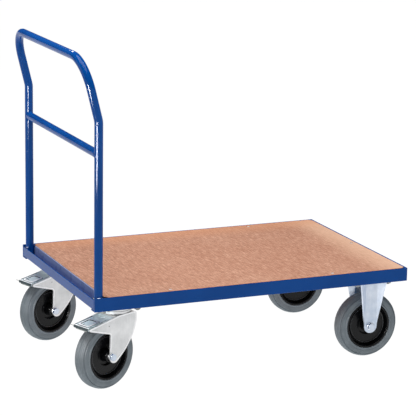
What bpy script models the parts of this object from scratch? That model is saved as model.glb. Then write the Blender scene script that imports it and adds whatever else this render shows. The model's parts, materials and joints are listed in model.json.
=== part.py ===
"""Flatbed platform truck.

A welded angle-iron frame carries a plywood deck and a bent-tube push hoop. Two fixed
castors sit under the front end, two braked swivel castors under the handle end.
Units are metres. +X points to the front, +Y to the truck's left, +Z is up, and the
ground is Z = 0. Each castor's pieces are drawn in the castor's own frame: its origin
is on the ground under the swivel pin, its wheel trails towards local -X and local Y
is the axle.
"""
import math

import bmesh
import bpy
from mathutils import Matrix, Vector

# Driving dimensions of the frame and deck
FRAME_LENGTH = 1.000
FRAME_WIDTH = 0.660
DECK_HEIGHT = 0.287
RAIL_HEIGHT = 0.040
RAIL_LEG = 0.030
RAIL_WALL = 0.0045
REAR_RAIL_SIZE = 0.030
REAR_RAIL_WALL = 0.004
END_ANGLE_SIZE = 0.030
END_ANGLE_WALL = 0.003
END_ANGLE_INSET = 0.0303
END_ANGLE_CORNER = 0.007
END_ANGLE_SIDE_INSET = 0.024
PANEL_THICKNESS = 0.0157
PANEL_START = 0.0345
PANEL_CORNER_CUT = 0.010
CROSS_MEMBER_WIDTH = 0.030
CROSS_MEMBER_WALL = 0.003
CROSS_MEMBER_PLACES = (0.091, 0.240, 0.500, 0.760, 0.909)
CLEAT_WIDTH = 0.024
CLEAT_LENGTH = 0.060

# Driving dimensions of the push hoop
TUBE_RADIUS = 0.0125
TUBE_WALL = 0.002
TUBE_SIDES = 12
HOOP_INSET = 0.0175
HOOP_KINK_HEIGHT = 0.792
HOOP_TOP_HEIGHT = 0.966
HOOP_LEAN = math.radians(14.0)
HOOP_KINK_RADIUS = 0.060
HOOP_CORNER_RADIUS = 0.088
CROSSBAR_HEIGHT = 0.698

# Driving dimensions of the castors
WHEEL_RADIUS = 0.100
WHEEL_STEPS = 36
TYRE_HALF_WIDTH = 0.0234
TYRE_SHOULDER = (0.0985, 0.0135)
RIM_RADIUS = 0.071
HUB_HALF_LENGTH = 0.028
HUB_BORE = 0.010
WHEEL_TRAIL = 0.043
SWIVEL_PLACE = 0.0925
SWIVEL_INSET = 0.0795
SWIVEL_YAW = {"right": math.radians(21.0), "left": math.radians(18.5)}
FIXED_PLACE = 0.906
FIXED_INSET = 0.083
PLATE_LENGTH = 0.135
PLATE_WIDTH = 0.110
PLATE_THICKNESS = 0.006
PLATE_CORNER = 0.008
BOLT_PITCH_X = 0.105
BOLT_PITCH_Y = 0.080
PAD_LENGTH = 0.138
PAD_REACH = 0.066
STUD_RADIUS = 0.005
STUD_HOLE_RADIUS = 0.0056
STUD_NUT_SIZE = 0.017
STUD_NUT_HEIGHT = 0.007
STUD_TAIL = 0.003
FORK_HALF_WIDTH = 0.036
SHEET = 0.004
CROWN_TOP = 0.221
CROWN_END = 0.022
ARM_END = 0.127
KINGPIN_RADIUS = 0.0077
KINGPIN_HEAD_RADIUS = 0.014
KINGPIN_HEAD_HEIGHT = 0.007
AXLE_RADIUS = 0.006
AXLE_NUT_SIZE = 0.019
AXLE_NUT_HEIGHT = 0.0085
AXLE_HEAD_HEIGHT = 0.0075
AXLE_TAIL = 0.0015
SLEEVE_RADIUS = 0.0097
PEDAL_PIVOT = (0.055, 0.194)
PEDAL_HALF_WIDTH = 0.0315
PEDAL_SHEET = 0.0025
PEDAL_START = (0.036, 0.2165)
PEDAL_TIP = 0.132
PEDAL_SLOPE = 0.170
PEDAL_LIP = 0.008
STUB_RADIUS = 0.003
JAW_HALF_WIDTH = 0.023
WIRE_RADIUS = 0.0008
WIRE_REACH = 0.050

# Clearance between pieces that touch, and the fillet of a rolled angle's wall
GAP = 0.0003
TOE_SHARE = 0.4

# Places worked out from the driving dimensions; X = 0 is midway between the rearmost
# tyre's shoulder and the front tyres' foremost points
REAR_OVERHANG = ((WHEEL_TRAIL + TYRE_SHOULDER[0]) * math.cos(SWIVEL_YAW["left"])
                 + TYRE_SHOULDER[1] * math.sin(SWIVEL_YAW["left"]) - SWIVEL_PLACE)
FRONT_REACH = FIXED_PLACE + WHEEL_RADIUS
REAR_X = -0.5 * (FRONT_REACH - REAR_OVERHANG)
FRONT_X = REAR_X + FRAME_LENGTH
HALF_WIDTH = 0.5 * FRAME_WIDTH
RAIL_BOTTOM = DECK_HEIGHT - RAIL_HEIGHT
LEG_TOP = RAIL_BOTTOM + RAIL_WALL
REAR_RAIL_BOTTOM = LEG_TOP + GAP
PANEL_BOTTOM = DECK_HEIGHT - PANEL_THICKNESS
MEMBER_BOTTOM = LEG_TOP + GAP
MEMBER_TOP = PANEL_BOTTOM - GAP
INSIDE_FILLET = HALF_WIDTH - (1.0 + TOE_SHARE) * RAIL_WALL - GAP
HOOP_X = REAR_X + HOOP_INSET
HOOP_Y = HALF_WIDTH - HOOP_INSET
HOOP_FOOT = REAR_RAIL_BOTTOM + (1.0 + TOE_SHARE) * REAR_RAIL_WALL + GAP
PLATE_TOP = RAIL_BOTTOM - GAP
PLATE_BOTTOM = PLATE_TOP - PLATE_THICKNESS
CROWN_BOTTOM = CROWN_TOP - SHEET
FORK_INNER = FORK_HALF_WIDTH - SHEET
SCREW_INSET = 0.024
FRONT_SCREW_PLACE = FRAME_LENGTH - 0.021
SCREWS = (
    (0.240, HALF_WIDTH - SCREW_INSET),
    (0.240, SCREW_INSET - HALF_WIDTH),
    (0.760, HALF_WIDTH - SCREW_INSET),
    (0.760, SCREW_INSET - HALF_WIDTH),
    (FRONT_SCREW_PLACE, 0.0),
)
SCREW_HEAD_RADIUS = 0.005
SCREW_SHANK_RADIUS = 0.0021
SCREW_HEAD_DEPTH = 0.003
SCREW_LENGTH = 0.022
SCREW_CLEARANCE = 0.0004
SCREW_RIM = 0.0004
SCREW_TOP = DECK_HEIGHT - 0.0002
SIDES = {"left": 1.0, "right": -1.0}


# ---- general tools -------------------------------------------------------------

def clear_scene():
    for item in list(bpy.data.objects):
        bpy.data.objects.remove(item, do_unlink=True)


def linear(value):
    """Linear-light value of a display colour value between 0 and 1."""
    if value <= 0.04045:
        return value / 12.92
    return ((value + 0.055) / 1.055) ** 2.4


def make_material(name, colour, metallic, roughness):
    material = bpy.data.materials.new(name)
    material.use_nodes = True
    shader = material.node_tree.nodes["Principled BSDF"]
    shader.inputs["Base Color"].default_value = [linear(c) for c in colour] + [1.0]
    shader.inputs["Metallic"].default_value = metallic
    shader.inputs["Roughness"].default_value = roughness
    return material


def add_empty(name, location, yaw=0.0, parent=None):
    empty = bpy.data.objects.new(name, None)
    empty.location = location
    empty.rotation_euler = (0.0, 0.0, yaw)
    empty.parent = parent
    bpy.context.scene.collection.objects.link(empty)
    return empty


def add_object(name, mesh_builder, material, parent=None, smooth_angle=None):
    """Turn a finished bmesh into a named object with its own copy of a material."""
    bmesh.ops.recalc_face_normals(mesh_builder, faces=mesh_builder.faces)
    mesh = bpy.data.meshes.new(name)
    mesh_builder.to_mesh(mesh)
    mesh_builder.free()
    if smooth_angle:
        mesh.shade_smooth()
        mesh.set_sharp_from_angle(angle=math.radians(smooth_angle))
    if material:
        own = material.copy()
        own.name = name
        mesh.materials.append(own)
    item = bpy.data.objects.new(name, mesh)
    item.parent = parent
    bpy.context.scene.collection.objects.link(item)
    return item


def shape_with(target, operation, tool_mesh):
    """Cut or join a helper solid, drawn in the target's own frame, with the target."""
    tool = add_object(f"{target.name}_tool", tool_mesh, None, target.parent)
    tool.hide_render = True
    tool.display_type = "WIRE"
    modifier = target.modifiers.new(operation.lower(), "BOOLEAN")
    modifier.operation = operation
    modifier.solver = "EXACT"
    modifier.object = tool


def skin(sections, wrap=False):
    """Closed surface through rings of equal size, capped or joined end to end."""
    shape = bmesh.new()
    rings = [[shape.verts.new(point) for point in section] for section in sections]
    count = len(rings[0])
    pairs = list(zip(rings, rings[1:]))
    if wrap:
        pairs.append((rings[-1], rings[0]))
    for first, second in pairs:
        for k in range(count):
            after = (k + 1) % count
            shape.faces.new((first[k], first[after], second[after], second[k]))
    if not wrap:
        shape.faces.new(rings[0])
        shape.faces.new(list(reversed(rings[-1])))
    return shape


def merge(*shapes):
    """One bmesh holding several separate solids."""
    joined = shapes[0]
    for shape in shapes[1:]:
        mesh = bpy.data.meshes.new("joined")
        shape.to_mesh(mesh)
        shape.free()
        joined.from_mesh(mesh)
        bpy.data.meshes.remove(mesh)
    return joined


def moved(shape, x=0.0, y=0.0, z=0.0):
    bmesh.ops.translate(shape, verts=shape.verts, vec=(x, y, z))
    return shape


def lying_along_y(shape):
    """Turn a solid built up Z so that it points along +Y."""
    shape.transform(Matrix.Rotation(math.radians(-90.0), 4, "X"))
    return shape


def ring(radius, height, count=12):
    turn = 2.0 * math.pi / count
    return [
        Vector((radius * math.cos(turn * k), radius * math.sin(turn * k), height))
        for k in range(count)
    ]


def hex_ring(size, height, count=12):
    """Hexagon of a given width across flats, with 12 points one in each flat's middle."""
    if count == 6:
        return ring(0.5 * size / math.cos(math.radians(30.0)), height, 6)
    points = []
    for k in range(count):
        radius = 0.5 * size / math.cos(math.radians(30.0)) if k % 2 else 0.5 * size
        angle = math.radians(30.0 * k)
        points.append(Vector((radius * math.cos(angle), radius * math.sin(angle), height)))
    return points


def cylinder(radius, low, high, count=12):
    return skin([ring(radius, low, count), ring(radius, high, count)])


def hollow(outer, inner, low, high, count=16):
    return skin([ring(outer, low, count), ring(outer, high, count),
                 ring(inner, high, count), ring(inner, low, count)], wrap=True)


def box(low, high):
    corners = [(low[0], low[1]), (high[0], low[1]), (high[0], high[1]), (low[0], high[1])]
    return skin([[Vector((x, y, z)) for x, y in corners] for z in (low[2], high[2])])


def rounded_rectangle(length, width, radius, steps=3):
    points = []
    for corner in range(4):
        quarter = math.radians(90.0 * corner)
        sign_x = 1.0 if corner in (0, 3) else -1.0
        sign_y = 1.0 if corner in (0, 1) else -1.0
        for k in range(steps + 1):
            angle = quarter + math.radians(90.0 * k / steps)
            points.append((sign_x * (0.5 * length - radius) + radius * math.cos(angle),
                           sign_y * (0.5 * width - radius) + radius * math.sin(angle)))
    return points


def plate(outline, low, high, holes=()):
    """Flat plate between two heights, with round holes given as (x, y, radius)."""
    shape = bmesh.new()
    loops = [[Vector((x, y, low)) for x, y in outline]]
    for x, y, radius in holes:
        loops.append([point + Vector((x, y, 0.0)) for point in ring(radius, low)])
    edges = []
    for loop in loops:
        verts = [shape.verts.new(point) for point in loop]
        edges += [shape.edges.new((a, b)) for a, b in zip(verts, verts[1:] + verts[:1])]
    filled = bmesh.ops.triangle_fill(shape, edges=edges, use_beauty=True, use_dissolve=False)
    faces = [item for item in filled["geom"] if isinstance(item, bmesh.types.BMFace)]
    raised = bmesh.ops.extrude_face_region(shape, geom=faces)
    verts = [item for item in raised["geom"] if isinstance(item, bmesh.types.BMVert)]
    bmesh.ops.translate(shape, verts=verts, vec=(0.0, 0.0, high - low))
    return shape


def side_slab(outline, half_width, centre=0.0):
    """Slab whose outline is (distance behind the pin, height), extruded along Y."""
    return skin([[Vector((-u, centre + side * half_width, z)) for u, z in outline]
                 for side in (-1.0, 1.0)])


def arc(centre, radius, start, end, steps):
    """Points of an arc between two angles in degrees."""
    points = []
    for k in range(steps + 1):
        angle = math.radians(start + (end - start) * k / steps)
        points.append((centre[0] + radius * math.cos(angle),
                       centre[1] + radius * math.sin(angle)))
    return points


def bend_curve(start, control, end, steps):
    """Points of a quadratic curve, without its two ends."""
    points = []
    for k in range(1, steps):
        t = k / steps
        weights = ((1.0 - t) ** 2, 2.0 * t * (1.0 - t), t * t)
        points.append(tuple(weights[0] * a + weights[1] * b + weights[2] * c
                            for a, b, c in zip(start, control, end)))
    return points


def rounded_path(corners, radii, steps):
    """Route through corners, each replaced by a bend of its own radius."""
    path = [corners[0]]
    for before, corner, after, radius, count in zip(
            corners, corners[1:], corners[2:], radii, steps):
        back = (before - corner).normalized()
        ahead = (after - corner).normalized()
        half = 0.5 * back.angle(ahead)
        centre = corner + (back + ahead).normalized() * radius / math.sin(half)
        start = corner + back * radius / math.tan(half) - centre
        end = corner + ahead * radius / math.tan(half) - centre
        turn = start.angle(end)
        for k in range(count + 1):
            part = turn * k / count
            path.append(centre + (start * math.sin(turn - part) + end * math.sin(part))
                        / math.sin(turn))
    path.append(corners[-1])
    return path


def tube_rings(path, radius, sides):
    """Rings round a path, turned with it so that the tube doesn't twist."""
    rings = []
    steps = [(b - a).normalized() for a, b in zip(path, path[1:])]
    tangents = [steps[0]] + [(a + b).normalized() for a, b in zip(steps, steps[1:])] + [steps[-1]]
    normal = tangents[0].orthogonal().normalized()
    for k, (point, tangent) in enumerate(zip(path, tangents)):
        if k:
            normal = tangents[k - 1].rotation_difference(tangent) @ normal
        other = tangent.cross(normal)
        rings.append([point + radius * (math.cos(2.0 * math.pi * s / sides) * normal
                                        + math.sin(2.0 * math.pi * s / sides) * other)
                      for s in range(sides)])
    return rings


def lathe(profile, steps=WHEEL_STEPS):
    """Ring turned round local Y from (radius, y); its flats lie at the radius given."""
    grow = 1.0 / math.cos(math.pi / steps)
    sections = []
    for k in range(steps):
        angle = 2.0 * math.pi * (k + 0.5) / steps
        sections.append([Vector((r * grow * math.cos(angle), y, r * grow * math.sin(angle)))
                         for r, y in profile])
    return skin(sections, wrap=True)


def mirrored(half_profile):
    """Closed profile from its half at +Y, listed from the inside outwards."""
    return half_profile + [(r, -y) for r, y in reversed(half_profile)]


# ---- frame and deck --------------------------------------------------------------

def angle_profile(height, leg, wall):
    """Rolled angle section as (distance from the outer face, height)."""
    toe = TOE_SHARE * wall
    heel = 0.001
    return [(heel, 0.0), (leg, 0.0), (leg, wall - toe), (leg - toe, wall),
            (wall + toe, wall), (wall, wall + toe),
            (wall, height - toe), (wall - toe, height), (0.0, height), (0.0, heel)]


def side_rail(name, side, paint):
    profile = angle_profile(RAIL_HEIGHT, RAIL_LEG, RAIL_WALL)
    rear = [Vector((REAR_X, side * (HALF_WIDTH - d), RAIL_BOTTOM + h)) for d, h in profile]
    front = [Vector((FRONT_X - d, side * (HALF_WIDTH - d), RAIL_BOTTOM + h))
             for d, h in profile]
    add_object(name, skin([rear, front]), paint)


def front_rail(paint):
    profile = angle_profile(RAIL_HEIGHT, RAIL_LEG, RAIL_WALL)
    ends = []
    for side in (-1.0, 1.0):
        ends.append([Vector((FRONT_X - d, side * (HALF_WIDTH - d - 2.0 * GAP), RAIL_BOTTOM + h))
                     for d, h in profile])
    rail = add_object("front_rail", skin(ends), paint)
    inner = FRONT_X - RAIL_WALL - GAP
    cleat = box((inner - CLEAT_WIDTH, -0.5 * CLEAT_LENGTH, LEG_TOP - GAP),
                (inner, 0.5 * CLEAT_LENGTH, MEMBER_TOP))
    shape_with(rail, "UNION", cleat)
    shape_with(rail, "DIFFERENCE", screw_hole(FRONT_SCREW_PLACE, 0.0))


def rear_rail(paint):
    profile = angle_profile(REAR_RAIL_SIZE, REAR_RAIL_SIZE, REAR_RAIL_WALL)
    ends = [[Vector((REAR_X + d, y, REAR_RAIL_BOTTOM + h)) for d, h in profile]
            for y in (-INSIDE_FILLET, INSIDE_FILLET)]
    add_object("rear_rail", skin(ends), paint)


def deck_end_angle(paint):
    """Upright strip with rounded corners, and the leg that stiffens it."""
    length = FRAME_WIDTH - 2.0 * END_ANGLE_SIDE_INSET
    strip = plate(rounded_rectangle(length, END_ANGLE_SIZE, END_ANGLE_CORNER), 0.0,
                  END_ANGLE_WALL)
    stand_up = Matrix(((0, 0, 1, 0), (1, 0, 0, 0), (0, 1, 0, 0), (0, 0, 0, 1)))
    strip.transform(stand_up)
    start = REAR_X + END_ANGLE_INSET
    bottom = DECK_HEIGHT - END_ANGLE_SIZE
    moved(strip, start, 0.0, bottom + 0.5 * END_ANGLE_SIZE)
    angle = add_object("deck_end_angle", strip, paint)
    half = 0.5 * length - 1.5 * END_ANGLE_CORNER
    leg = box((start + 0.5 * END_ANGLE_WALL, -half, bottom + 0.0005),
              (start + END_ANGLE_SIZE, half, bottom + END_ANGLE_WALL))
    shape_with(angle, "UNION", leg)


def cross_member(number, place, paint):
    """Channel across the frame, lying on the side rails' legs."""
    width = CROSS_MEMBER_WIDTH
    wall = CROSS_MEMBER_WALL
    height = MEMBER_TOP - MEMBER_BOTTOM
    profile = [(0.0, 0.0), (width, 0.0), (width, wall), (wall, wall), (wall, height - wall),
               (width, height - wall), (width, height), (0.0, height)]
    start = REAR_X + place - 0.5 * width
    ends = [[Vector((start + x, y, MEMBER_BOTTOM + z)) for x, z in profile]
            for y in (-INSIDE_FILLET, INSIDE_FILLET)]
    member = add_object(f"cross_member_{number}", skin(ends), paint)
    holes = [screw_hole(x, y) for x, y in SCREWS if x == place]
    if holes:
        shape_with(member, "DIFFERENCE", merge(*holes))


def screw_hole(place, y):
    hole = cylinder(SCREW_SHANK_RADIUS + SCREW_CLEARANCE, DECK_HEIGHT - SCREW_LENGTH - 0.001,
                    MEMBER_TOP + 0.001)
    return moved(hole, REAR_X + place, y)


def deck_screw(number, place, y, zinc):
    """Countersunk screw, its head just under the deck's face."""
    tip = DECK_HEIGHT - SCREW_LENGTH
    stack = [ring(0.6 * SCREW_SHANK_RADIUS, tip), ring(SCREW_SHANK_RADIUS, tip + 0.002),
             ring(SCREW_SHANK_RADIUS, SCREW_TOP - SCREW_HEAD_DEPTH),
             ring(SCREW_HEAD_RADIUS, SCREW_TOP - SCREW_RIM), ring(SCREW_HEAD_RADIUS, SCREW_TOP)]
    add_object(f"deck_screw_{number}", moved(skin(stack), REAR_X + place, y), zinc,
               smooth_angle=40.0)


def deck_panel(wood):
    low_x = REAR_X + PANEL_START
    high_x = FRONT_X - RAIL_WALL - 2.0 * GAP
    reach = HALF_WIDTH - RAIL_WALL - 2.0 * GAP
    cut = PANEL_CORNER_CUT
    outline = [(low_x + cut, -reach), (high_x - cut, -reach), (high_x, cut - reach),
               (high_x, reach - cut), (high_x - cut, reach), (low_x + cut, reach),
               (low_x, reach - cut), (low_x, cut - reach)]
    panel = add_object("deck_panel", plate(outline, PANEL_BOTTOM, DECK_HEIGHT), wood)
    shank = SCREW_SHANK_RADIUS + SCREW_CLEARANCE
    head = SCREW_HEAD_RADIUS + SCREW_CLEARANCE
    seats = []
    for x, y in SCREWS:
        seat = skin([ring(shank, PANEL_BOTTOM - 0.001),
                     ring(shank, SCREW_TOP - SCREW_HEAD_DEPTH - GAP),
                     ring(head, SCREW_TOP - SCREW_RIM - GAP), ring(head, DECK_HEIGHT + 0.001)])
        seats.append(moved(seat, REAR_X + x, y))
    shape_with(panel, "DIFFERENCE", merge(*seats))


def bolt_places():
    return [(sx * 0.5 * BOLT_PITCH_X, sy * 0.5 * BOLT_PITCH_Y)
            for sx in (-1.0, 1.0) for sy in (-1.0, 1.0)]


def castor_pad(name, x, inset, side, paint):
    """Plate welded beside a rail's leg, with four studs and the nuts run up on them."""
    inner = RAIL_LEG + GAP
    low = side * (HALF_WIDTH - inner)
    high = side * (HALF_WIDTH - inset - PAD_REACH)
    front = min(x + 0.5 * PAD_LENGTH, FRONT_X - RAIL_LEG - 2.0 * GAP)
    shape = box((x - 0.5 * PAD_LENGTH, min(low, high), RAIL_BOTTOM),
                (front, max(low, high), LEG_TOP))
    pad = add_object(name, shape, paint)
    nut_top = PLATE_BOTTOM - GAP
    nut_bottom = nut_top - STUD_NUT_HEIGHT
    studs = []
    for bx, by in bolt_places():
        stud = skin([ring(STUD_RADIUS, LEG_TOP - 0.001, 6), ring(STUD_RADIUS, nut_top, 6),
                     hex_ring(STUD_NUT_SIZE, nut_top, 6), hex_ring(STUD_NUT_SIZE, nut_bottom, 6),
                     ring(STUD_RADIUS, nut_bottom, 6),
                     ring(STUD_RADIUS, nut_bottom - STUD_TAIL, 6)])
        studs.append(moved(stud, x + bx, side * (HALF_WIDTH - inset) + by))
    shape_with(pad, "UNION", merge(*studs))


# ---- push hoop -------------------------------------------------------------------

def handle_hoop(paint):
    rise = HOOP_TOP_HEIGHT - HOOP_KINK_HEIGHT
    top_x = HOOP_X - rise * math.tan(HOOP_LEAN)
    half = [Vector((HOOP_X, -HOOP_Y, HOOP_FOOT)), Vector((HOOP_X, -HOOP_Y, HOOP_KINK_HEIGHT)),
            Vector((top_x, -HOOP_Y, HOOP_TOP_HEIGHT))]
    corners = half + [Vector((p.x, -p.y, p.z)) for p in reversed(half)]
    radii = (HOOP_KINK_RADIUS, HOOP_CORNER_RADIUS, HOOP_CORNER_RADIUS, HOOP_KINK_RADIUS)
    path = rounded_path(corners, radii, (3, 8, 8, 3))
    outside = tube_rings(path, TUBE_RADIUS, TUBE_SIDES)
    inside = tube_rings(path, TUBE_RADIUS - TUBE_WALL, TUBE_SIDES)
    shape = skin(outside + list(reversed(inside)), wrap=True)
    add_object("handle_hoop", shape, paint, smooth_angle=40.0)


def handle_crossbar(paint):
    """Tube between the uprights, its ends shaped to sit round them."""
    clear = TUBE_RADIUS + 2.0 * GAP
    loops = []
    for radius in (TUBE_RADIUS, TUBE_RADIUS - TUBE_WALL):
        for side in (-1.0, 1.0):
            loop = []
            for k in range(TUBE_SIDES):
                angle = 2.0 * math.pi * k / TUBE_SIDES
                offset = radius * math.cos(angle)
                reach = HOOP_Y - math.sqrt(clear ** 2 - offset ** 2)
                loop.append(Vector((HOOP_X + offset, side * reach,
                                    CROSSBAR_HEIGHT + radius * math.sin(angle))))
            loops.append(loop)
    shape = skin([loops[0], loops[1], loops[3], loops[2]], wrap=True)
    add_object("handle_crossbar", shape, paint, smooth_angle=40.0)


# ---- pieces that all castors share -----------------------------------------------

def plate_outline():
    return rounded_rectangle(PLATE_LENGTH, PLATE_WIDTH, PLATE_CORNER)


def plate_holes():
    return [(x, y, STUD_HOLE_RADIUS) for x, y in bolt_places()]


def wheel_centre(name, axle, nylon):
    half = [(HUB_BORE, HUB_HALF_LENGTH), (0.021, HUB_HALF_LENGTH), (0.022, 0.009),
            (0.055, 0.009), (0.065, TYRE_HALF_WIDTH), (RIM_RADIUS - GAP, TYRE_HALF_WIDTH)]
    add_object(name, lathe(mirrored(half)), nylon, axle, smooth_angle=35.0)


def tyre(name, axle, rubber):
    half = [(RIM_RADIUS, TYRE_HALF_WIDTH), (0.086, 0.0230), (0.0945, 0.0195),
            TYRE_SHOULDER, (WHEEL_RADIUS, 0.0060)]
    add_object(name, lathe(mirrored(half)), rubber, axle, smooth_angle=35.0)


def axle_pieces(prefix, suffix, parent, x, steel):
    """Bolt, nut and spacer sleeve of one wheel, on the axle's line."""
    head = FORK_HALF_WIDTH + GAP
    tail = head + AXLE_NUT_HEIGHT + AXLE_TAIL
    bolt = skin([hex_ring(AXLE_NUT_SIZE, -head - AXLE_HEAD_HEIGHT), hex_ring(AXLE_NUT_SIZE, -head),
                 ring(AXLE_RADIUS, -head), ring(AXLE_RADIUS, tail)])
    nut = skin([hex_ring(AXLE_NUT_SIZE, head), hex_ring(AXLE_NUT_SIZE, head + AXLE_NUT_HEIGHT),
                ring(AXLE_RADIUS + GAP, head + AXLE_NUT_HEIGHT), ring(AXLE_RADIUS + GAP, head)],
               wrap=True)
    reach = FORK_INNER - GAP
    sleeve = hollow(SLEEVE_RADIUS, AXLE_RADIUS + GAP, -reach, reach)
    for name, shape in (("axle_bolt", bolt), ("axle_nut", nut), ("axle_sleeve", sleeve)):
        shape = moved(lying_along_y(shape), x, 0.0, WHEEL_RADIUS)
        add_object(f"{prefix}_{name}_{suffix}", shape, steel, parent, smooth_angle=40.0)


def axle_drill(x):
    reach = FORK_HALF_WIDTH + 0.02
    return moved(lying_along_y(cylinder(AXLE_RADIUS + GAP, -reach, reach)), x, 0.0, WHEEL_RADIUS)


# ---- fixed castor ----------------------------------------------------------------

def fixed_leg(side):
    """Pressed leg: a flat strip round the axle whose wings flare out towards the plate."""
    strip = 0.021
    crease = 0.020
    flare_start = 0.105
    flare_end = 0.237
    wing = 0.022
    lift = 0.016
    rows = [(PLATE_BOTTOM + 0.002, 1.0), (flare_end, 1.0), (0.195, None), (0.150, None),
            (flare_start, 0.0), (WHEEL_RADIUS, 0.0)]
    middle = side * (FORK_HALF_WIDTH - 0.5 * SHEET)
    grid = []
    for height, amount in rows:
        if amount is None:
            amount = (height - flare_start) / (flare_end - flare_start)
        outer = strip + wing * amount
        rise = side * lift * amount
        grid.append([(-outer, middle + rise, height), (-crease, middle, height),
                     (crease, middle, height), (outer, middle + rise, height)])
    for step in range(1, 5):
        angle = math.radians(21.0 * step)
        width = strip * math.cos(angle)
        height = WHEEL_RADIUS - strip * math.sin(angle)
        inner = width * crease / strip
        grid.append([(-width, middle, height), (-inner, middle, height),
                     (inner, middle, height), (width, middle, height)])
    shape = bmesh.new()
    verts = [[shape.verts.new(point) for point in row] for row in grid]
    for above, below in zip(verts, verts[1:]):
        for k in range(3):
            shape.faces.new((above[k], above[k + 1], below[k + 1], below[k]))
    bmesh.ops.recalc_face_normals(shape, faces=shape.faces)
    return thickened(shape, SHEET)


def thickened(sheet, thickness):
    """Closed solid from an open sheet, half the thickness on each side of it."""
    sheet.normal_update()
    verts = list(sheet.verts)
    faces = [tuple(face.verts) for face in sheet.faces]
    rim = [tuple(edge.verts) for edge in sheet.edges if edge.is_boundary]
    lower = {}
    for vert in verts:
        lower[vert] = sheet.verts.new(vert.co - 0.5 * thickness * vert.normal)
    for vert in verts:
        vert.co += 0.5 * thickness * vert.normal
    for face in faces:
        sheet.faces.new([lower[vert] for vert in reversed(face)])
    for first, second in rim:
        sheet.faces.new((first, second, lower[second], lower[first]))
    return sheet


def fixed_castor(side_name, zinc, nylon, rubber):
    side = SIDES[side_name]
    x = REAR_X + FIXED_PLACE
    y = side * (HALF_WIDTH - FIXED_INSET)
    base = add_empty(f"front_castor_{side_name}", (x, y, 0.0))
    top = plate(plate_outline(), PLATE_BOTTOM, PLATE_TOP, plate_holes())
    bracket = add_object(f"front_bracket_{side_name}", top, zinc, base)
    for leg_side in (-1.0, 1.0):
        shape_with(bracket, "UNION", fixed_leg(leg_side))
    shape_with(bracket, "DIFFERENCE", axle_drill(0.0))
    axle_pieces("front", side_name, base, 0.0, zinc)
    axle = add_empty(f"front_axle_{side_name}", (0.0, 0.0, WHEEL_RADIUS), parent=base)
    wheel_centre(f"front_wheel_centre_{side_name}", axle, nylon)
    tyre(f"front_tyre_{side_name}", axle, rubber)


# ---- swivel castor ---------------------------------------------------------------

def fork_outline():
    """Side view of the fork: crown, trailing arm, and the leg down to the axle."""
    tip = (WHEEL_TRAIL - 0.008, 0.098)
    tip_radius = 0.017
    leg_start = (-0.050, 0.200)
    leg_control = (-0.040, 0.135)
    leg_end = (tip[0] - tip_radius * math.sqrt(0.5), tip[1] - tip_radius * math.sqrt(0.5))
    outline = [leg_start, (-0.050, 0.212)]
    outline += arc((-0.041, 0.212), 0.009, 150.0, 90.0, 2)
    outline += [(CROWN_END, 0.2184), (0.122, 0.1990)]
    outline += arc((0.1225, 0.1945), 0.0045, 80.0, -70.0, 4)
    outline += [(0.056, 0.1705)]
    outline += arc((0.0575, 0.1630), 0.0080, 105.0, 180.0, 3)
    outline += arc(tip, tip_radius, 5.0, -135.0, 7)
    outline += list(reversed(bend_curve(leg_start, leg_control, leg_end, 7)))
    return outline


def fork(name, pivot, zinc):
    shape = side_slab(fork_outline(), FORK_HALF_WIDTH)
    body = add_object(name, shape, zinc, pivot)
    opening = [(-0.060, 0.060), (0.140, 0.060), (0.140, 0.240), (CROWN_END, 0.240),
               (CROWN_END, CROWN_BOTTOM), (-0.060, CROWN_BOTTOM)]
    shape_with(body, "DIFFERENCE", side_slab(opening, FORK_INNER))
    pin_hole = cylinder(KINGPIN_RADIUS + 2.0 * GAP, CROWN_BOTTOM - 0.01, CROWN_TOP + 0.01)
    pivot_hole = lying_along_y(cylinder(STUB_RADIUS + GAP, -0.05, 0.05))
    moved(pivot_hole, -PEDAL_PIVOT[0], 0.0, PEDAL_PIVOT[1])
    shape_with(body, "DIFFERENCE", merge(pin_hole, pivot_hole, axle_drill(-WHEEL_TRAIL)))


def swivel_head(suffix, base, pivot, zinc):
    """Top plate, kingpin and the two halves of the ball race."""
    holes = plate_holes() + [(0.0, 0.0, KINGPIN_RADIUS + GAP)]
    add_object(f"swivel_plate_{suffix}", plate(plate_outline(), PLATE_BOTTOM, PLATE_TOP, holes),
               zinc, base)
    head_top = CROWN_BOTTOM - GAP
    pin = skin([ring(0.8 * KINGPIN_HEAD_RADIUS, head_top - KINGPIN_HEAD_HEIGHT, 16),
                ring(KINGPIN_HEAD_RADIUS, head_top - 0.7 * KINGPIN_HEAD_HEIGHT, 16),
                ring(KINGPIN_HEAD_RADIUS, head_top, 16),
                ring(KINGPIN_RADIUS, head_top, 16), ring(KINGPIN_RADIUS, PLATE_TOP, 16)])
    add_object(f"kingpin_{suffix}", pin, zinc, base, smooth_angle=40.0)
    inner = KINGPIN_RADIUS + GAP
    race_split = 0.2330
    upper_top = PLATE_BOTTOM - GAP
    upper = [ring(0.0465, race_split, 24), ring(0.0495, race_split + 0.003, 24),
             ring(0.0500, upper_top, 24), ring(inner, upper_top, 24), ring(inner, race_split, 24)]
    add_object(f"upper_race_{suffix}", skin(upper, wrap=True), zinc, base, smooth_angle=40.0)
    low = CROWN_TOP + GAP
    high = race_split - GAP
    turning = KINGPIN_RADIUS + 2.0 * GAP
    lower = [ring(0.0380, low, 24), ring(0.0380, 0.2260, 24), ring(0.0455, 0.2265, 24),
             ring(0.0470, high - 0.001, 24), ring(0.0450, high, 24), ring(turning, high, 24),
             ring(turning, low, 24)]
    add_object(f"lower_race_{suffix}", skin(lower, wrap=True), zinc, pivot, smooth_angle=40.0)


def pedal_height(u):
    """Height of the pedal plate's upper face at a distance behind the pin."""
    return PEDAL_START[1] - PEDAL_SLOPE * (u - PEDAL_START[0])


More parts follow.
